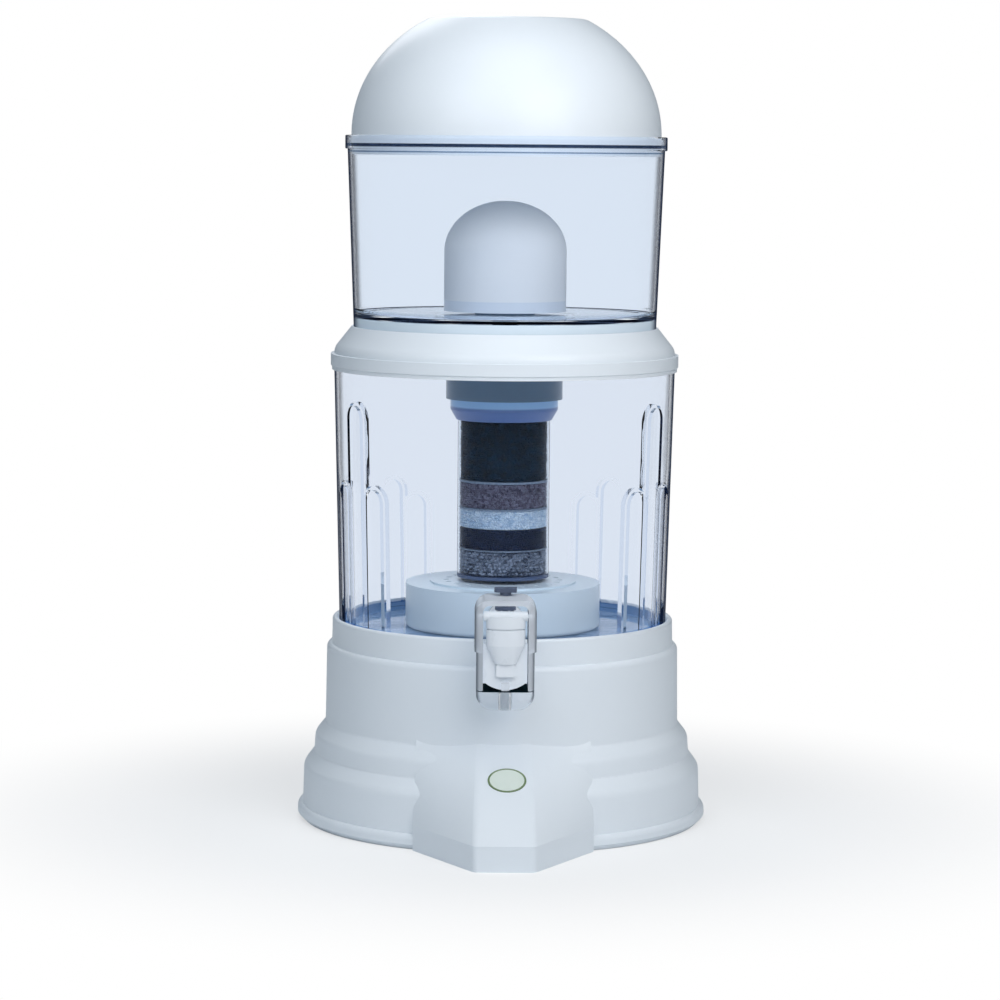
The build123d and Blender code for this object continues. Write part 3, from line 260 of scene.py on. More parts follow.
# A diffuse stretch of a clear wall, between two heights: real frosting on the tap's hood, painted light
# lifting the shade in the upper tank's skirt, and a painted dark strip on the guard's foot
def frostAndShadeWall(tree, body, frostAndPaintedShade):
    level = useGroup(tree, levelGroup, 500, -900)
    setSockets(level, {"Low": frostAndPaintedShade["low"], "High": frostAndPaintedShade["high"], "Fade": frostAndPaintedShade["fade"]})
    amount = place(tree, "ShaderNodeMath", 700, -900, operation="MULTIPLY")
    amount.inputs[1].default_value = frostAndPaintedShade["share"]
    veil = place(tree, "ShaderNodeBsdfDiffuse", 700, -700)
    veil.inputs["Color"].default_value = (*frostAndPaintedShade["colour"], 1)
    both = place(tree, "ShaderNodeMixShader", 900, -600)
    tree.links.new(level.outputs["Mask"], amount.inputs[0])
    tree.links.new(amount.outputs["Value"], both.inputs["Fac"])
    tree.links.new(body, both.inputs[1])
    tree.links.new(veil.outputs["BSDF"], both.inputs[2])
    return both.outputs["Shader"]


def clearFinish(name, look):
    material, tree, skin, output = newMaterial(name)
    surface = useGroup(tree, mouldGroup, -600, 0)
    setSockets(surface, {"Cloud Scale": look["cloudScale"], "Grain Scale": 160.0})
    rough = rangeOf(tree, surface.outputs["Cloud"], look["rough"][0], look["rough"][1], 0, -50)
    tree.links.new(rough, skin.inputs["Roughness"])
    facing = place(tree, "ShaderNodeLayerWeight", -600, 350)
    facing.inputs["Blend"].default_value = 0.5
    edge = place(tree, "ShaderNodeMapRange", -300, 350, interpolation_type="SMOOTHSTEP")
    setSockets(edge, {"From Min": look["edgeFrom"], "From Max": look["edgeTo"]})
    tree.links.new(facing.outputs["Facing"], edge.inputs["Value"])
    # only upright walls get the painted dark edge, not a floor seen at a low angle
    lies = place(tree, "ShaderNodeNewGeometry", -900, 600)
    upwards = place(tree, "ShaderNodeSeparateXYZ", -700, 600)
    flatness = place(tree, "ShaderNodeMath", -500, 600, operation="ABSOLUTE")
    upright = place(tree, "ShaderNodeMapRange", -300, 600)
    setSockets(upright, {"From Min": 0.25, "From Max": 0.6, "To Min": 1.0, "To Max": 0.0})
    paintedEdgeMask = place(tree, "ShaderNodeMath", -100, 450, operation="MULTIPLY")
    tree.links.new(lies.outputs["Normal"], upwards.inputs["Vector"])
    tree.links.new(upwards.outputs["Z"], flatness.inputs[0])
    tree.links.new(flatness.outputs["Value"], upright.inputs["Value"])
    tree.links.new(edge.outputs["Result"], paintedEdgeMask.inputs[0])
    tree.links.new(upright.outputs["Result"], paintedEdgeMask.inputs[1])
    # painted dark edge: the base colour also darkens towards the wall's rim
    colour = shadeByValue(tree, paintedEdgeMask.outputs["Value"], look["tint"], look["paintedEdgeShade"], 0, 300)
    colour = paintBands(tree, colour, look.get("bands", ()), 0, 500)
    tree.links.new(colour, skin.inputs["Base Color"])
    bumpFrom(tree, skin, surface.outputs["Cloud"], look["bump"], 0.002, 200, -300)
    setSockets(skin, {"Transmission Weight": 1.0, "IOR": look["ior"], "Metallic": 0.0})
    # painted dark reflection: the wall seen edge on is mixed with a dark diffuse rather than bright
    paintedEdgeShader = place(tree, "ShaderNodeBsdfDiffuse", 500, -500)
    paintedEdgeShader.inputs["Color"].default_value = (*look["paintedEdgeShade"], 1)
    deep = place(tree, "ShaderNodeMath", 200, -500, operation="MULTIPLY")
    deep.inputs[1].default_value = look["paintedEdgeStrength"]
    tree.links.new(paintedEdgeMask.outputs["Value"], deep.inputs[0])
    body = skin.outputs["BSDF"]
    for frostAndPaintedShade in look.get("frostAndPaintedShade", ()):
        body = frostAndShadeWall(tree, body, frostAndPaintedShade)
    wall = place(tree, "ShaderNodeMixShader", 700, -300)
    tree.links.new(deep.outputs["Value"], wall.inputs["Fac"])
    tree.links.new(body, wall.inputs[1])
    tree.links.new(paintedEdgeShader.outputs["BSDF"], wall.inputs[2])
    # light goes on through the wall to what stands inside
    passing = place(tree, "ShaderNodeLightPath", 300, 500)
    letThrough = place(tree, "ShaderNodeBsdfTransparent", 500, 250)
    letThrough.inputs["Color"].default_value = (*look["lets"], 1)
    either = place(tree, "ShaderNodeMath", 500, 450, operation="MAXIMUM")
    tree.links.new(passing.outputs["Is Shadow Ray"], either.inputs[0])
    tree.links.new(passing.outputs["Is Diffuse Ray"], either.inputs[1])
    blend = place(tree, "ShaderNodeMixShader", 720, 100)
    tree.links.new(either.outputs["Value"], blend.inputs["Fac"])
    tree.links.new(wall.outputs["Shader"], blend.inputs[1])
    tree.links.new(letThrough.outputs["BSDF"], blend.inputs[2])
    tree.links.new(blend.outputs["Shader"], output.inputs["Surface"])
    return material


def grainFinish(name, look):
    material, tree, skin, output = newMaterial(name)
    grains = useGroup(tree, grainGroup, -300, 0, Scale=look["scale"])
    colour = shadeByValue(tree, grains.outputs["Pick"], look["dark"], look["light"], 0, 200)
    tree.links.new(colour, skin.inputs["Base Color"])
    rough = rangeOf(tree, grains.outputs["Pick"], look["rough"][0], look["rough"][1], 0, 0)
    tree.links.new(rough, skin.inputs["Roughness"])
    bumpFrom(tree, skin, grains.outputs["Height"], look["bump"], look["deep"], 200, -200)
    setSockets(skin, {"Specular IOR Level": look["shine"]})
    return material


# Heights where a finish changes or a painted shade band lies, read from the solids
seamRise = 0.0145  # the guard's seam above its foot
stepDrop = 0.045  # the cap's step below its top
levels = {
    "capTop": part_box("cartridge_cap")[1][2],
    "lowerFloor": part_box("stone_case")[0][2],
    "floorUnder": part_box("floor_washer")[1][2],
    "floorTop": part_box("ceramic_gasket")[0][2],
    "lipTop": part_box("upper_tank")[1][2],
    "guardSeam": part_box("tap_guard")[0][2] + seamRise,
    "hoodTop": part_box("tap_hood")[1][2],
}
capStep = levels["capTop"] - stepDrop
finishes = {
    "whiteShell": plasticFinish("whiteShell", {
        "dark": (0.78, 0.83, 0.88), "light": (0.83, 0.87, 0.91), "rough": (0.34, 0.44),
        "cloudScale": 7.0, "grainScale": 1400.0, "bump": 0.05, "coat": 0.08}),
    "tapWhite": plasticFinish("tapWhite", {
        "dark": (0.74, 0.78, 0.83), "light": (0.84, 0.87, 0.91), "rough": (0.22, 0.34),
        "cloudScale": 30.0, "grainScale": 2200.0, "bump": 0.05, "coat": 0.3}),
    "tapGrey": plasticFinish("tapGrey", {
        "dark": (0.075, 0.095, 0.150), "light": (0.115, 0.140, 0.205), "rough": (0.30, 0.45),
        "cloudScale": 40.0, "grainScale": 2200.0, "bump": 0.08, "coat": 0.1}),
    "nozzleGrey": plasticFinish("nozzleGrey", {
        "dark": (0.32, 0.36, 0.41), "light": (0.42, 0.46, 0.51), "rough": (0.30, 0.45),
        "cloudScale": 50.0, "grainScale": 2200.0, "bump": 0.08, "coat": 0.1}),
    "capBlue": plasticFinish("capBlue", {
        "dark": (0.125, 0.210, 0.46), "light": (0.165, 0.260, 0.55), "rough": (0.26, 0.40),
        "bands": ({"low": capStep - 0.0065, "high": capStep + 0.001, "fade": 0.002,
                   "colour": (0.42, 0.68, 0.98)},
                  {"low": capStep - 0.0005, "high": levels["capTop"], "fade": 0.001,
                   "colour": (0.118, 0.192, 0.275)}),
        "cloudScale": 20.0, "grainScale": 1600.0, "bump": 0.06, "coat": 0.2}),
    "strainerNavy": plasticFinish("strainerNavy", {
        "dark": (0.065, 0.100, 0.190), "light": (0.095, 0.140, 0.260), "rough": (0.35, 0.5),
        "cloudScale": 30.0, "grainScale": 1800.0, "bump": 0.08, "coat": 0.1}),
    "casePlastic": plasticFinish("casePlastic", {
        "dark": (0.78, 0.90, 0.97), "light": (0.86, 0.94, 0.98), "rough": (0.30, 0.45),
        "cloudScale": 14.0, "grainScale": 1500.0, "bump": 0.06, "coat": 0.15}),
    "candlePlate": plasticFinish("candlePlate", {
        "dark": (0.76, 0.83, 0.92), "light": (0.83, 0.88, 0.94), "rough": (0.30, 0.42),
        "cloudScale": 22.0, "grainScale": 1500.0, "bump": 0.05, "coat": 0.15}),
    "ceramicWhite": plasticFinish("ceramicWhite", {
        "dark": (0.90, 0.92, 0.94), "light": (0.96, 0.965, 0.97), "rough": (0.55, 0.75),
        "cloudScale": 35.0, "grainScale": 2600.0, "bump": 0.18, "coat": 0.0}),
    "sealRubber": plasticFinish("sealRubber", {
        "dark": (0.035, 0.04, 0.05), "light": (0.06, 0.066, 0.078), "rough": (0.55, 0.75),
        "cloudScale": 60.0, "grainScale": 2400.0, "bump": 0.15, "coat": 0.0}),
    "paleSilicone": plasticFinish("paleSilicone", {
        "dark": (0.46, 0.60, 0.74), "light": (0.56, 0.69, 0.81), "rough": (0.45, 0.6),
        "cloudScale": 60.0, "grainScale": 2400.0, "bump": 0.12, "coat": 0.0}),
    "upperClear": clearFinish("upperClear", {
        "tint": (0.835, 0.885, 0.95), "paintedEdgeShade": (0.012, 0.022, 0.060),
        "edgeFrom": 0.70, "edgeTo": 0.90, "paintedEdgeStrength": 0.85,
        # painted shade: the floor's edge is painted near black as a dark line
        "bands": ({"low": levels["floorUnder"] + 0.0003, "high": levels["floorTop"] - 0.0005, "fade": 0.0002,
                   "colour": (0.0006, 0.0016, 0.006)},
                  # painted shade: two dark lines painted on the wall just below the lid's rim
                  {"low": levels["lipTop"] - 0.0086, "high": levels["lipTop"] - 0.0062, "fade": 0.0006,
                   "colour": (0.06, 0.09, 0.16)},
                  {"low": levels["lipTop"] - 0.0124, "high": levels["lipTop"] - 0.0114, "fade": 0.0004,
                   "colour": (0.22, 0.32, 0.46)}),
        # milky skirt band: partly a real pale translucent band, partly painted light lifting the shade
        # inside the skirt
        "frostAndPaintedShade": ({"low": levels["floorUnder"] - 0.0170, "high": levels["floorUnder"] - 0.0004,
                   "fade": 0.0004, "colour": (0.80, 0.90, 0.97), "share": 0.66},),
        "lets": (0.97, 0.98, 1.0), "ior": 1.13, "rough": (0.0, 0.03),
        "cloudScale": 12.0, "bump": 0.02}),
    "lowerClear": clearFinish("lowerClear", {
        "tint": (0.84, 0.88, 0.94), "paintedEdgeShade": (0.020, 0.035, 0.080),
        "edgeFrom": 0.74, "edgeTo": 0.92, "paintedEdgeStrength": 0.85,
        # painted shade: a blue band painted on the wall around the floor and the nested foot, standing in
        # for the shaded base rim seen through it
        "bands": ({"low": levels["lowerFloor"] - 0.0045, "high": levels["lowerFloor"] + 0.0058,
                   "fade": 0.0004, "colour": (0.27, 0.46, 0.74)},),
        "lets": (0.97, 0.98, 1.0), "ior": 1.15, "rough": (0.0, 0.03),
        "cloudScale": 12.0, "bump": 0.02}),
    "clearShell": clearFinish("clearShell", {
        "tint": (0.90, 0.94, 0.98), "paintedEdgeShade": (0.03, 0.045, 0.09),
        "edgeFrom": 0.78, "edgeTo": 0.95, "paintedEdgeStrength": 0.6,
        "lets": (0.97, 0.98, 1.0), "ior": 1.10, "rough": (0.0, 0.04), "cloudScale": 25.0, "bump": 0.02}),
    "clearTap": clearFinish("clearTap", {
        "tint": (0.93, 0.94, 0.955), "paintedEdgeShade": (0.12, 0.14, 0.17),
        "edgeFrom": 0.25, "edgeTo": 0.65, "paintedEdgeStrength": 0.7,
        "frostAndPaintedShade": ({"low": levels["guardSeam"] + 0.0006, "high": levels["hoodTop"] + 0.0010, "fade": 0.0004,
                   "colour": (0.72, 0.75, 0.80), "share": 0.62},
                  {"low": levels["guardSeam"] - 0.0150, "high": levels["guardSeam"] - 0.0006, "fade": 0.0002,
                   "colour": (0.88, 0.92, 0.95), "share": 0.22},
                  # painted shade: the guard foot's top is painted matte near black, standing in for the dark
                  # hollow behind the lever
                  {"low": levels["guardSeam"] - 0.0004, "high": levels["guardSeam"] + 0.0003, "fade": 0.0002,
                   "colour": (0.004, 0.010, 0.013), "share": 1.0}),
        "lets": (0.95, 0.97, 1.0), "ior": 1.30, "rough": (0.01, 0.06), "cloudScale": 60.0, "bump": 0.03}),
    "carbon": grainFinish("carbon", {
        "dark": (0.002, 0.009, 0.018), "light": (0.011, 0.042, 0.078), "rough": (0.45, 0.70),
        "scale": 420.0, "bump": 0.6, "deep": 0.0008, "shine": 0.15}),
    "fineCarbon": grainFinish("fineCarbon", {
        "dark": (0.004, 0.010, 0.030), "light": (0.015, 0.030, 0.075), "rough": (0.35, 0.6),
        "scale": 600.0, "bump": 0.5, "deep": 0.0006, "shine": 0.2}),
    "silica": grainFinish("silica", {
        "dark": (0.48, 0.63, 0.78), "light": (0.88, 0.94, 0.98), "rough": (0.30, 0.55),
        "scale": 500.0, "bump": 0.5, "deep": 0.0006, "shine": 0.5}),
    "mineralSand": grainFinish("mineralSand", {
        "dark": (0.060, 0.053, 0.084), "light": (0.29, 0.27, 0.35), "rough": (0.45, 0.7),
        "scale": 520.0, "bump": 0.6, "deep": 0.0007, "shine": 0.3}),
    "gravel": grainFinish("gravel", {
        "dark": (0.065, 0.085, 0.125), "light": (0.34, 0.38, 0.46), "rough": (0.40, 0.65),
        "scale": 340.0, "bump": 0.5, "deep": 0.0008, "shine": 0.3}),
    "stoneBeads": grainFinish("stoneBeads", {
        "dark": (0.20, 0.16, 0.13), "light": (0.42, 0.36, 0.30), "rough": (0.5, 0.8),
        "scale": 900.0, "bump": 0.4, "deep": 0.0004, "shine": 0.4}),
    "felt": grainFinish("felt", {
        "dark": (0.20, 0.25, 0.33), "light": (0.38, 0.44, 0.53), "rough": (0.8, 0.95),
        "scale": 1500.0, "bump": 0.5, "deep": 0.0003, "shine": 0.2}),
}


def steelFinish(name):
    material, tree, skin, output = newMaterial(name)
    surface = useGroup(tree, mouldGroup, -300, 0)
    setSockets(surface, {"Cloud Scale": 80.0, "Grain Scale": 3000.0})
    colour = shadeByValue(tree, surface.outputs["Cloud"], (0.52, 0.53, 0.55), (0.64, 0.65, 0.67), 0, 200)
    tree.links.new(colour, skin.inputs["Base Color"])
    rough = rangeOf(tree, surface.outputs["Cloud"], 0.22, 0.36, 0, 0)
    tree.links.new(rough, skin.inputs["Roughness"])
    bumpFrom(tree, skin, surface.outputs["Grain"], 0.1, 0.0003, 200, -200)
    setSockets(skin, {"Metallic": 1.0})
    return material


finishes["springSteel"] = steelFinish("springSteel")
print("finishes:", len(finishes))

# What each solid is made of
dressing = {
    "whiteShell": ("lid", "middle_collar", "base"),
    "upperClear": ("upper_tank",),
    "lowerClear": ("lower_tank",),
    "clearShell": ("cartridge_shell",),
    "clearTap": ("tap_hood", "tap_guard"),
    "casePlastic": ("stone_case", "stone_case_lid"),
    "candlePlate": ("ceramic_base",),
    "ceramicWhite": ("ceramic_dome",),
    "capBlue": ("cartridge_cap",),
    "strainerNavy": ("cartridge_strainer",),
    "sealRubber": ("cartridge_gasket", "tap_outer_gasket", "tap_inner_gasket", "valve_seal"),
    "paleSilicone": ("ceramic_gasket", "floor_washer"),
    "tapWhite": ("tap_valve_body", "tap_nut", "valve_bonnet", "tap_lever", "lever_pin", "wing_nut"),
    "tapGrey": ("valve_stem",),
    "nozzleGrey": ("tap_nozzle",),
    "springSteel": ("valve_spring",),
    "carbon": ("carbon_layer",),
    "fineCarbon": ("fine_carbon_layer",),
    "silica": ("silica_layer",),
    "mineralSand": ("mineral_sand_layer",),
    "gravel": ("gravel_layer",),
    "felt": ("separator_pads",),
    "stoneBeads": ("mineral_stones",),
}


def dress(solid, material):
    solid.data.materials.clear()
    solid.data.materials.append(material)


for finish, names in dressing.items():
    for name in names:
        dress(cadNodes[name], finishes[finish])
print("solids dressed")


def newPiece(name, shape, material, body, smooth=True):
    mesh = bpy.data.meshes.new(name)
    bmesh.ops.recalc_face_normals(shape, faces=shape.faces)
    shape.to_mesh(mesh)
    shape.free()
    for face in mesh.polygons:
        face.use_smooth = smooth
    mesh.materials.append(material)
    piece = bpy.data.objects.new(name, mesh)
    scene.collection.objects.link(piece)
    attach(piece, body)
    return piece


# Loose media, packed against the cartridge's wall in place of the plain layers
media = {
    "gravel_layer": {"name": "gravelBed", "finish": "gravel", "slot": "gravel",
                     "grain": 0.0036, "facets": 2, "rough": 0.16, "seed": 3},
    "fine_carbon_layer": {"name": "fineCarbonBed", "finish": "fineCarbon", "slot": "fine_carbon",
                          "grain": 0.0024, "facets": 1, "rough": 0.12, "seed": 5},
    "silica_layer": {"name": "silicaBed", "finish": "silica", "slot": "silica",
                     "grain": 0.0026, "facets": 1, "rough": 0.12, "seed": 7},
    "mineral_sand_layer": {"name": "mineralSandBed", "finish": "mineralSand", "slot": "mineral_sand",
                           "grain": 0.0023, "facets": 1, "rough": 0.14, "seed": 11},
    "carbon_layer": {"name": "carbonBed", "finish": "carbon", "slot": "carbon",
                     "grain": 0.0030, "facets": 1, "rough": 0.14, "seed": 13},
}


# How the grains lie, in grain widths unless noted
packing = {
    "heartInset": 0.7,  # from the layer's wall to the solid heart behind the grains
    "heartShort": 0.2,
    "heartSides": 48,  # count
    "rowPitch": 0.72,
    "stepPitch": 0.80,
    "inset": 0.52,
    "sizes": (0.75, 1.0),  # share of the full size
    "strayAround": 0.3,  # steps
    "strayOut": (-0.1, 0.02),
    "strayUp": 0.2,
    "spin": 6.28,  # radians
}


def packMedia(node, look):
    low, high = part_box(node)
    radius = (high[0] - low[0]) / 2
    tall = high[2] - low[2]
    grain = look["grain"]
    pick = random.Random(look["seed"])
    shape = bmesh.new()
    heart = Matrix.Translation((0, 0, low[2] + tall / 2))
    heartRadius = radius - packing["heartInset"] * grain
    bmesh.ops.create_cone(shape, cap_ends=True, segments=packing["heartSides"], radius1=heartRadius,
                          radius2=heartRadius, depth=tall - packing["heartShort"] * grain, matrix=heart)
    rows = max(2, round(tall / (grain * packing["rowPitch"])))
    around = round(2 * math.pi * radius / (grain * packing["stepPitch"]))
    aside, rise = packing["strayAround"], packing["strayUp"]
    lowest, highest = low[2] + grain / 2, high[2] - grain / 2
    for row in range(rows):
        level = low[2] + grain / 2 + (tall - grain) * row / (rows - 1)
        for step in range(around):
            turn = 2 * math.pi * (step + 0.5 * (row % 2) + pick.uniform(-aside, aside)) / around
            size = grain / 2 * pick.uniform(*packing["sizes"])
            out = radius - packing["inset"] * grain + pick.uniform(*packing["strayOut"]) * grain
            up = min(max(level + pick.uniform(-rise, rise) * grain, lowest), highest)
            spot = Vector((out * math.cos(turn), out * math.sin(turn), up))
            angle = pick.uniform(0, packing["spin"])
            spin = Matrix.Rotation(angle, 4, (pick.random(), pick.random(), pick.random() + 0.1))
            made = bmesh.ops.create_icosphere(shape, subdivisions=look["facets"], radius=size,
                                              matrix=Matrix.Translation(spot) @ spin)
            for vert in made["verts"]:
                vert.co = spot + (vert.co - spot) * (1 - pick.uniform(0, 2 * look["rough"]))
    bed = newPiece(look["name"], shape, finishes[look["finish"]], "cartridge",
                   smooth=look["facets"] > 1)
    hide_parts(node)


for node, look in media.items():
    packMedia(node, look)
print("media packed:", len(media), "beds")

# Plain oval plate on the prow's middle facet
ovalPlate = {
    "wide": 0.0271,
    "tall": 0.0225,
    "lowEdge": (-0.2089, 0.018),  # y and z of the facet's foot and root
    "highEdge": (-0.1299, 0.0756),
    "along": 0.635,  # share of the way up the facet
    "aside": 0.002,
    "thick": 0.0009,
    "around": 72,
    "rimFrom": 0.90,  # share of the way out where the rim's colour starts
    # share of the way out, and height in thicknesses
    "profile": ((1.0, -0.3), (1.0, 0.55), (0.985, 0.85), (0.955, 1.0),
                (0.92, 0.9), (0.895, 0.62), (0.84, 0.55)),
}


def ringLoft(shape, rings):
    loops = [[shape.verts.new(p) for p in ring] for ring in rings]
    for below, above in zip(loops, loops[1:]):
        count = len(below)
        for i in range(count):
            j = (i + 1) % count
            shape.faces.new((below[i], below[j], above[j], above[i]))
    return loops


def makeOvalPlate():
    foot = Vector((0, *ovalPlate["lowEdge"]))
    root = Vector((0, *ovalPlate["highEdge"]))
    upSlope = (root - foot).normalized()
    across = Vector((1, 0, 0))
    outwards = across.cross(upSlope)
    middle = foot.lerp(root, ovalPlate["along"]) + across * ovalPlate["aside"]
    rings = []
    for share, height in ovalPlate["profile"]:
        ring = []
        for i in range(ovalPlate["around"]):
            turn = 2 * math.pi * i / ovalPlate["around"]
            edge = across * (math.cos(turn) * ovalPlate["wide"] / 2 * share)
            edge = edge + upSlope * (math.sin(turn) * ovalPlate["tall"] / 2 * share)
            ring.append(middle + edge + outwards * (height * ovalPlate["thick"]))
        rings.append(ring)
    shape = bmesh.new()
    loops = ringLoft(shape, rings)
    shape.faces.new(loops[-1])
    shape.faces.new(list(reversed(loops[0])))
    plate = newPiece("ovalPlate", shape, finishes["plateFace"], "stand")
    plate.data.materials.append(finishes["plateRim"])
    for face in plate.data.polygons:
        out = face.center - middle
        share = math.hypot(out.dot(across) / ovalPlate["wide"], out.dot(upSlope) / ovalPlate["tall"]) * 2
        face.material_index = 1 if share > ovalPlate["rimFrom"] else 0


finishes["plateFace"] = plasticFinish("plateFace", {
    "dark": (0.66, 0.74, 0.66), "light": (0.78, 0.84, 0.77), "rough": (0.30, 0.42),
    "cloudScale": 60.0, "grainScale": 2400.0, "bump": 0.08, "coat": 0.2})
finishes["plateRim"] = plasticFinish("plateRim", {
    "dark": (0.13, 0.20, 0.09), "light": (0.19, 0.27, 0.13), "rough": (0.30, 0.42),
    "cloudScale": 60.0, "grainScale": 2400.0, "bump": 0.08, "coat": 0.2})
makeOvalPlate()
print("oval plate set")

# Screw threads as a raised helix
threads = (
    {"name": "capThread", "body": "cartridge", "slot": "cap_blue", "finish": "capBlue",
     "radius": 0.0430, "low": levels["capTop"] - 0.014, "high": levels["capTop"] - 0.0015,
     "pitch": 0.0040, "tall": 0.0014, "proud": 0.00030},
    {"name": "stemThread", "body": "reservoir", "slot": "candle_plate", "finish": "candlePlate",
     "radius": 0.0085, "low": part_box("ceramic_base")[0][2] + 0.0002,
     "high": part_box("ceramic_base")[0][2] + 0.0032, "pitch": 0.0012,
     "tall": 0.0006, "proud": 0.00025},
)
threadForm = {
    "perTurn": 96,
    "runIn": 20,  # steps over which the ridge rises at each end
    "leastRise": 0.02,
    "sunk": 0.0002,  # how far the ridge's root lies inside the solid
    "crestFrom": 0.35,  # shares of the ridge's height
    "crestTo": 0.65,
}


def cutThread(look):
    shape = bmesh.new()
    perTurn = threadForm["perTurn"]
    ramp = threadForm["runIn"]
    turns = (look["high"] - look["low"] - look["tall"]) / look["pitch"]
    count = int(perTurn * turns)
    rings = []
    for i in range(count + 1):
        turn = 2 * math.pi * i / perTurn
        level = look["low"] + look["pitch"] * i / perTurn
        runIn = min(1.0, i / ramp, (count - i) / ramp)
        crest = look["radius"] + look["proud"] * max(runIn, threadForm["leastRise"])
        root = look["radius"] - threadForm["sunk"]
        way = Vector((math.cos(turn), math.sin(turn), 0))
        rings.append([
            way * root + Vector((0, 0, level)),
            way * crest + Vector((0, 0, level + look["tall"] * threadForm["crestFrom"])),
            way * crest + Vector((0, 0, level + look["tall"] * threadForm["crestTo"])),
            way * root + Vector((0, 0, level + look["tall"])),
        ])
    loops = ringLoft(shape, rings)
    shape.faces.new(loops[-1])
    shape.faces.new(list(reversed(loops[0])))
    newPiece(look["name"], shape, finishes[look["finish"]], look["body"])


for look in threads:
    cutThread(look)
print("threads cut:", len(threads))

# Valve spring: a round wire with flat end turns
spring = {
    "wire": 0.0005,
    "turns": 7,
    "flat": 0.5,  # turns that lie flat at each end
    "perTurn": 40,
    "around": 10,
    "lift": 0.0038,
}


def windSpring():
    low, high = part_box("valve_spring")
    wire = spring["wire"]
    middle = Vector(((low[0] + high[0]) / 2, (low[1] + high[1]) / 2, 0))
    coil = (high[0] - low[0]) / 2 - wire
    rise = high[2] - low[2] - 2 * wire
    count = spring["turns"] * spring["perTurn"]
    rings = []
    for i in range(count + 1):
        wound = i / spring["perTurn"]
        climb = (wound - spring["flat"]) / (spring["turns"] - 2 * spring["flat"])
        level = low[2] + wire + rise * min(max(climb, 0.0), 1.0)
        way = Vector((math.cos(2 * math.pi * wound), math.sin(2 * math.pi * wound), 0))
        centre = middle + way * coil + Vector((0, 0, level))
        ring = []
        for j in range(spring["around"]):
            turn = 2 * math.pi * j / spring["around"]
            ring.append(centre + way * (wire * math.cos(turn)) + Vector((0, 0, wire * math.sin(turn))))
        rings.append(ring)
    shape = bmesh.new()
    loops = ringLoft(shape, rings)
    shape.faces.new(loops[-1])
    shape.faces.new(list(reversed(loops[0])))
    wound = newPiece("coilSpring", shape, finishes["springSteel"], "stem")
    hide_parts("valve_spring")
    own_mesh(wound)


windSpring()
print("spring wound")

# Studio: pale floor that keeps a shadow, white all round, soft lamps
studio = {
    "floorSize": 6.0,
    "floorColour": (0.86, 0.88, 0.90),
    "shadowFrom": 0.18,  # metres from the axis where the floor starts to fade to white
    "shadowTo": 0.50,
    "keepShadow": 0.45,
    "ambient": 0.175,
    "ambientColour": (0.70, 0.86, 1.0),
}
lamps = (
    {"name": "keySoftbox", "spot": (0.50, -0.95, 0.95), "aim": (0, 0, 0.35), "size": 0.8, "power": 7.4,
     "colour": (1.0, 0.99, 0.98)},
    {"name": "fillSoftbox", "spot": (-0.50, -0.95, 1.05), "aim": (0, 0, 0.35), "size": 0.8, "power": 4.4,
     "colour": (0.90, 0.95, 1.0)},
    {"name": "topSoftbox", "spot": (0.0, -0.6, 2.0), "aim": (0, 0, 0.30), "size": 1.2, "power": 7.6,
     "colour": (0.92, 0.96, 1.0)},
    {"name": "backSoftbox", "spot": (-0.4, 1.6, 1.5), "aim": (0, 0, 0.30), "size": 1.0, "power": 9.0,
     "colour": (0.95, 0.97, 1.0)},
)


def seenDirectly(tree, x, y):
    path = place(tree, "ShaderNodeLightPath", x, y)
    inside = place(tree, "ShaderNodeMath", x + 200, y - 200, operation="GREATER_THAN")
    mirrored = place(tree, "ShaderNodeMath", x + 400, y - 200, operation="MULTIPLY")
    first = place(tree, "ShaderNodeMath", x + 400, y, operation="MAXIMUM")
    either = place(tree, "ShaderNodeMath", x + 600, y, operation="MAXIMUM")
    # a reflection counts only behind a clear wall
    inside.inputs[1].default_value = 0.5
    tree.links.new(path.outputs["Transmission Depth"], inside.inputs[0])
    tree.links.new(inside.outputs["Value"], mirrored.inputs[0])
    tree.links.new(path.outputs["Is Glossy Ray"], mirrored.inputs[1])
    tree.links.new(path.outputs["Is Camera Ray"], first.inputs[0])
    tree.links.new(path.outputs["Is Transmission Ray"], first.inputs[1])
    tree.links.new(first.outputs["Value"], either.inputs[0])
    tree.links.new(mirrored.outputs["Value"], either.inputs[1])
    return either.outputs["Value"]


def setWorld():
    world = bpy.data.worlds.new("studioWorld")
    world.use_nodes = True
    scene.world = world
    tree = world.node_tree
    tree.nodes.clear()
    output = place(tree, "ShaderNodeOutputWorld", 800, 0)
    ambient = place(tree, "ShaderNodeBackground", 200, 100)
    setSockets(ambient, {"Color": (*studio["ambientColour"], 1), "Strength": studio["ambient"]})
    white = place(tree, "ShaderNodeBackground", 200, -100)
    setSockets(white, {"Color": (1, 1, 1, 1), "Strength": 1.0})
    blend = place(tree, "ShaderNodeMixShader", 600, 0)
    tree.links.new(seenDirectly(tree, -500, 300), blend.inputs["Fac"])
    tree.links.new(ambient.outputs["Background"], blend.inputs[1])
    tree.links.new(white.outputs["Background"], blend.inputs[2])
    tree.links.new(blend.outputs["Shader"], output.inputs["Surface"])


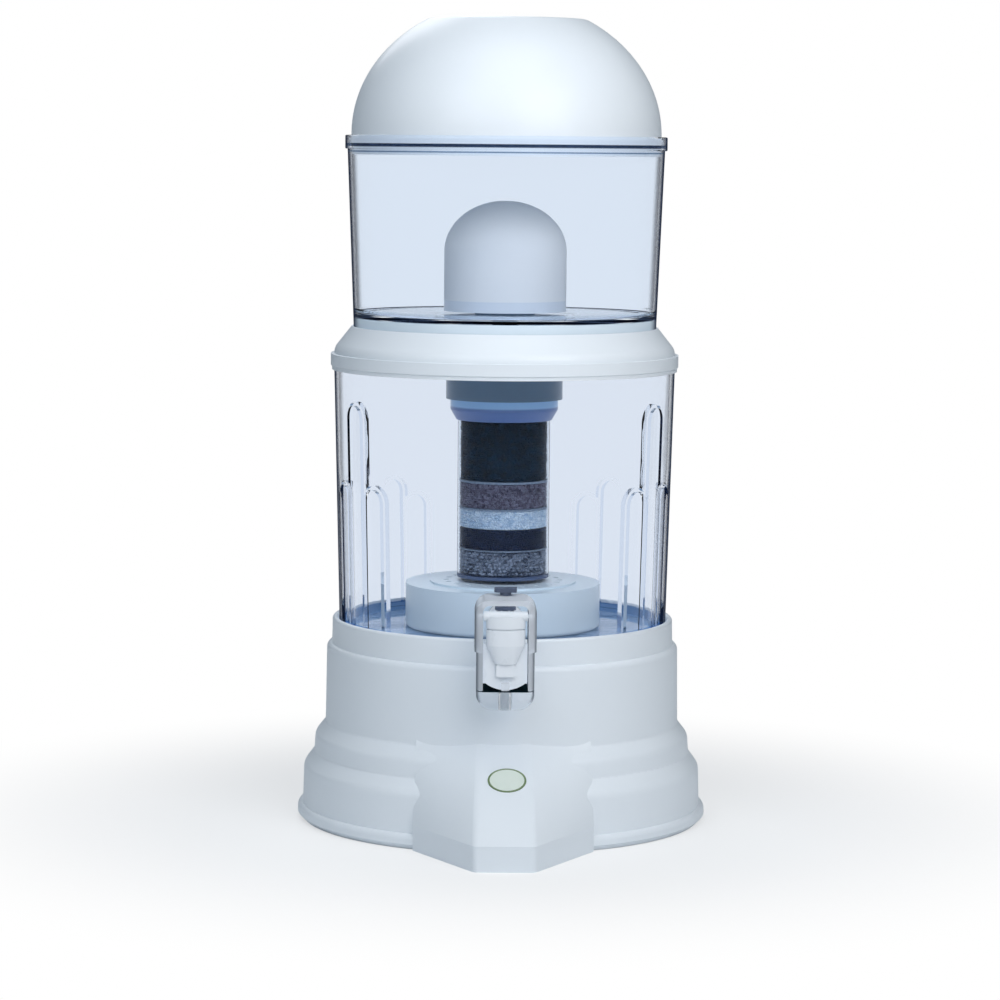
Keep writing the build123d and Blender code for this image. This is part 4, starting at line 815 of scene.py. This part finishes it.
def setFloor():
    mesh = bpy.data.meshes.new("studioFloor")
    half = studio["floorSize"] / 2
    corners = [(-half, -half, 0), (half, -half, 0), (half, half, 0), (-half, half, 0)]
    mesh.from_pydata(corners, [], [(0, 1, 2, 3)])
    floor = bpy.data.objects.new("studioFloor", mesh)
    scene.collection.objects.link(floor)
    material, tree, skin, output = newMaterial("floorPaper")
    setSockets(skin, {"Base Color": (*studio["floorColour"], 1), "Roughness": 0.9})
    white = place(tree, "ShaderNodeEmission", 500, -300)
    setSockets(white, {"Color": (1, 1, 1, 1), "Strength": 1.0})
    where = place(tree, "ShaderNodeTexCoord", -600, 300)
    flat = place(tree, "ShaderNodeVectorMath", -400, 300, operation="LENGTH")
    fade = place(tree, "ShaderNodeMapRange", -200, 300, interpolation_type="SMOOTHSTEP")
    setSockets(fade, {"From Min": studio["shadowFrom"], "From Max": studio["shadowTo"],
                      "To Min": 1 - studio["keepShadow"], "To Max": 1.0})
    seen = place(tree, "ShaderNodeMath", 300, 300, operation="MULTIPLY")
    blend = place(tree, "ShaderNodeMixShader", 720, 0)
    tree.links.new(where.outputs["Object"], flat.inputs[0])
    tree.links.new(flat.outputs["Value"], fade.inputs["Value"])
    tree.links.new(fade.outputs["Result"], seen.inputs[0])
    tree.links.new(seenDirectly(tree, -400, 700), seen.inputs[1])
    tree.links.new(seen.outputs["Value"], blend.inputs["Fac"])
    tree.links.new(skin.outputs["BSDF"], blend.inputs[1])
    tree.links.new(white.outputs["Emission"], blend.inputs[2])
    tree.links.new(blend.outputs["Shader"], output.inputs["Surface"])
    mesh.materials.append(material)


def setLamps():
    for lamp in lamps:
        data = bpy.data.lights.new(lamp["name"], "AREA")
        data.size = lamp["size"]
        data.energy = lamp["power"]
        data.color = lamp["colour"]
        light = bpy.data.objects.new(lamp["name"], data)
        scene.collection.objects.link(light)
        # no lamp shows as a bright panel through the clear walls
        light.visible_transmission = False
        spot = Vector(lamp["spot"])
        turn = (Vector(lamp["aim"]) - spot).to_track_quat("-Z", "Y")
        light.matrix_world = Matrix.Translation(spot) @ turn.to_matrix().to_4x4()


setWorld()
setFloor()
setLamps()
print("studio lit")
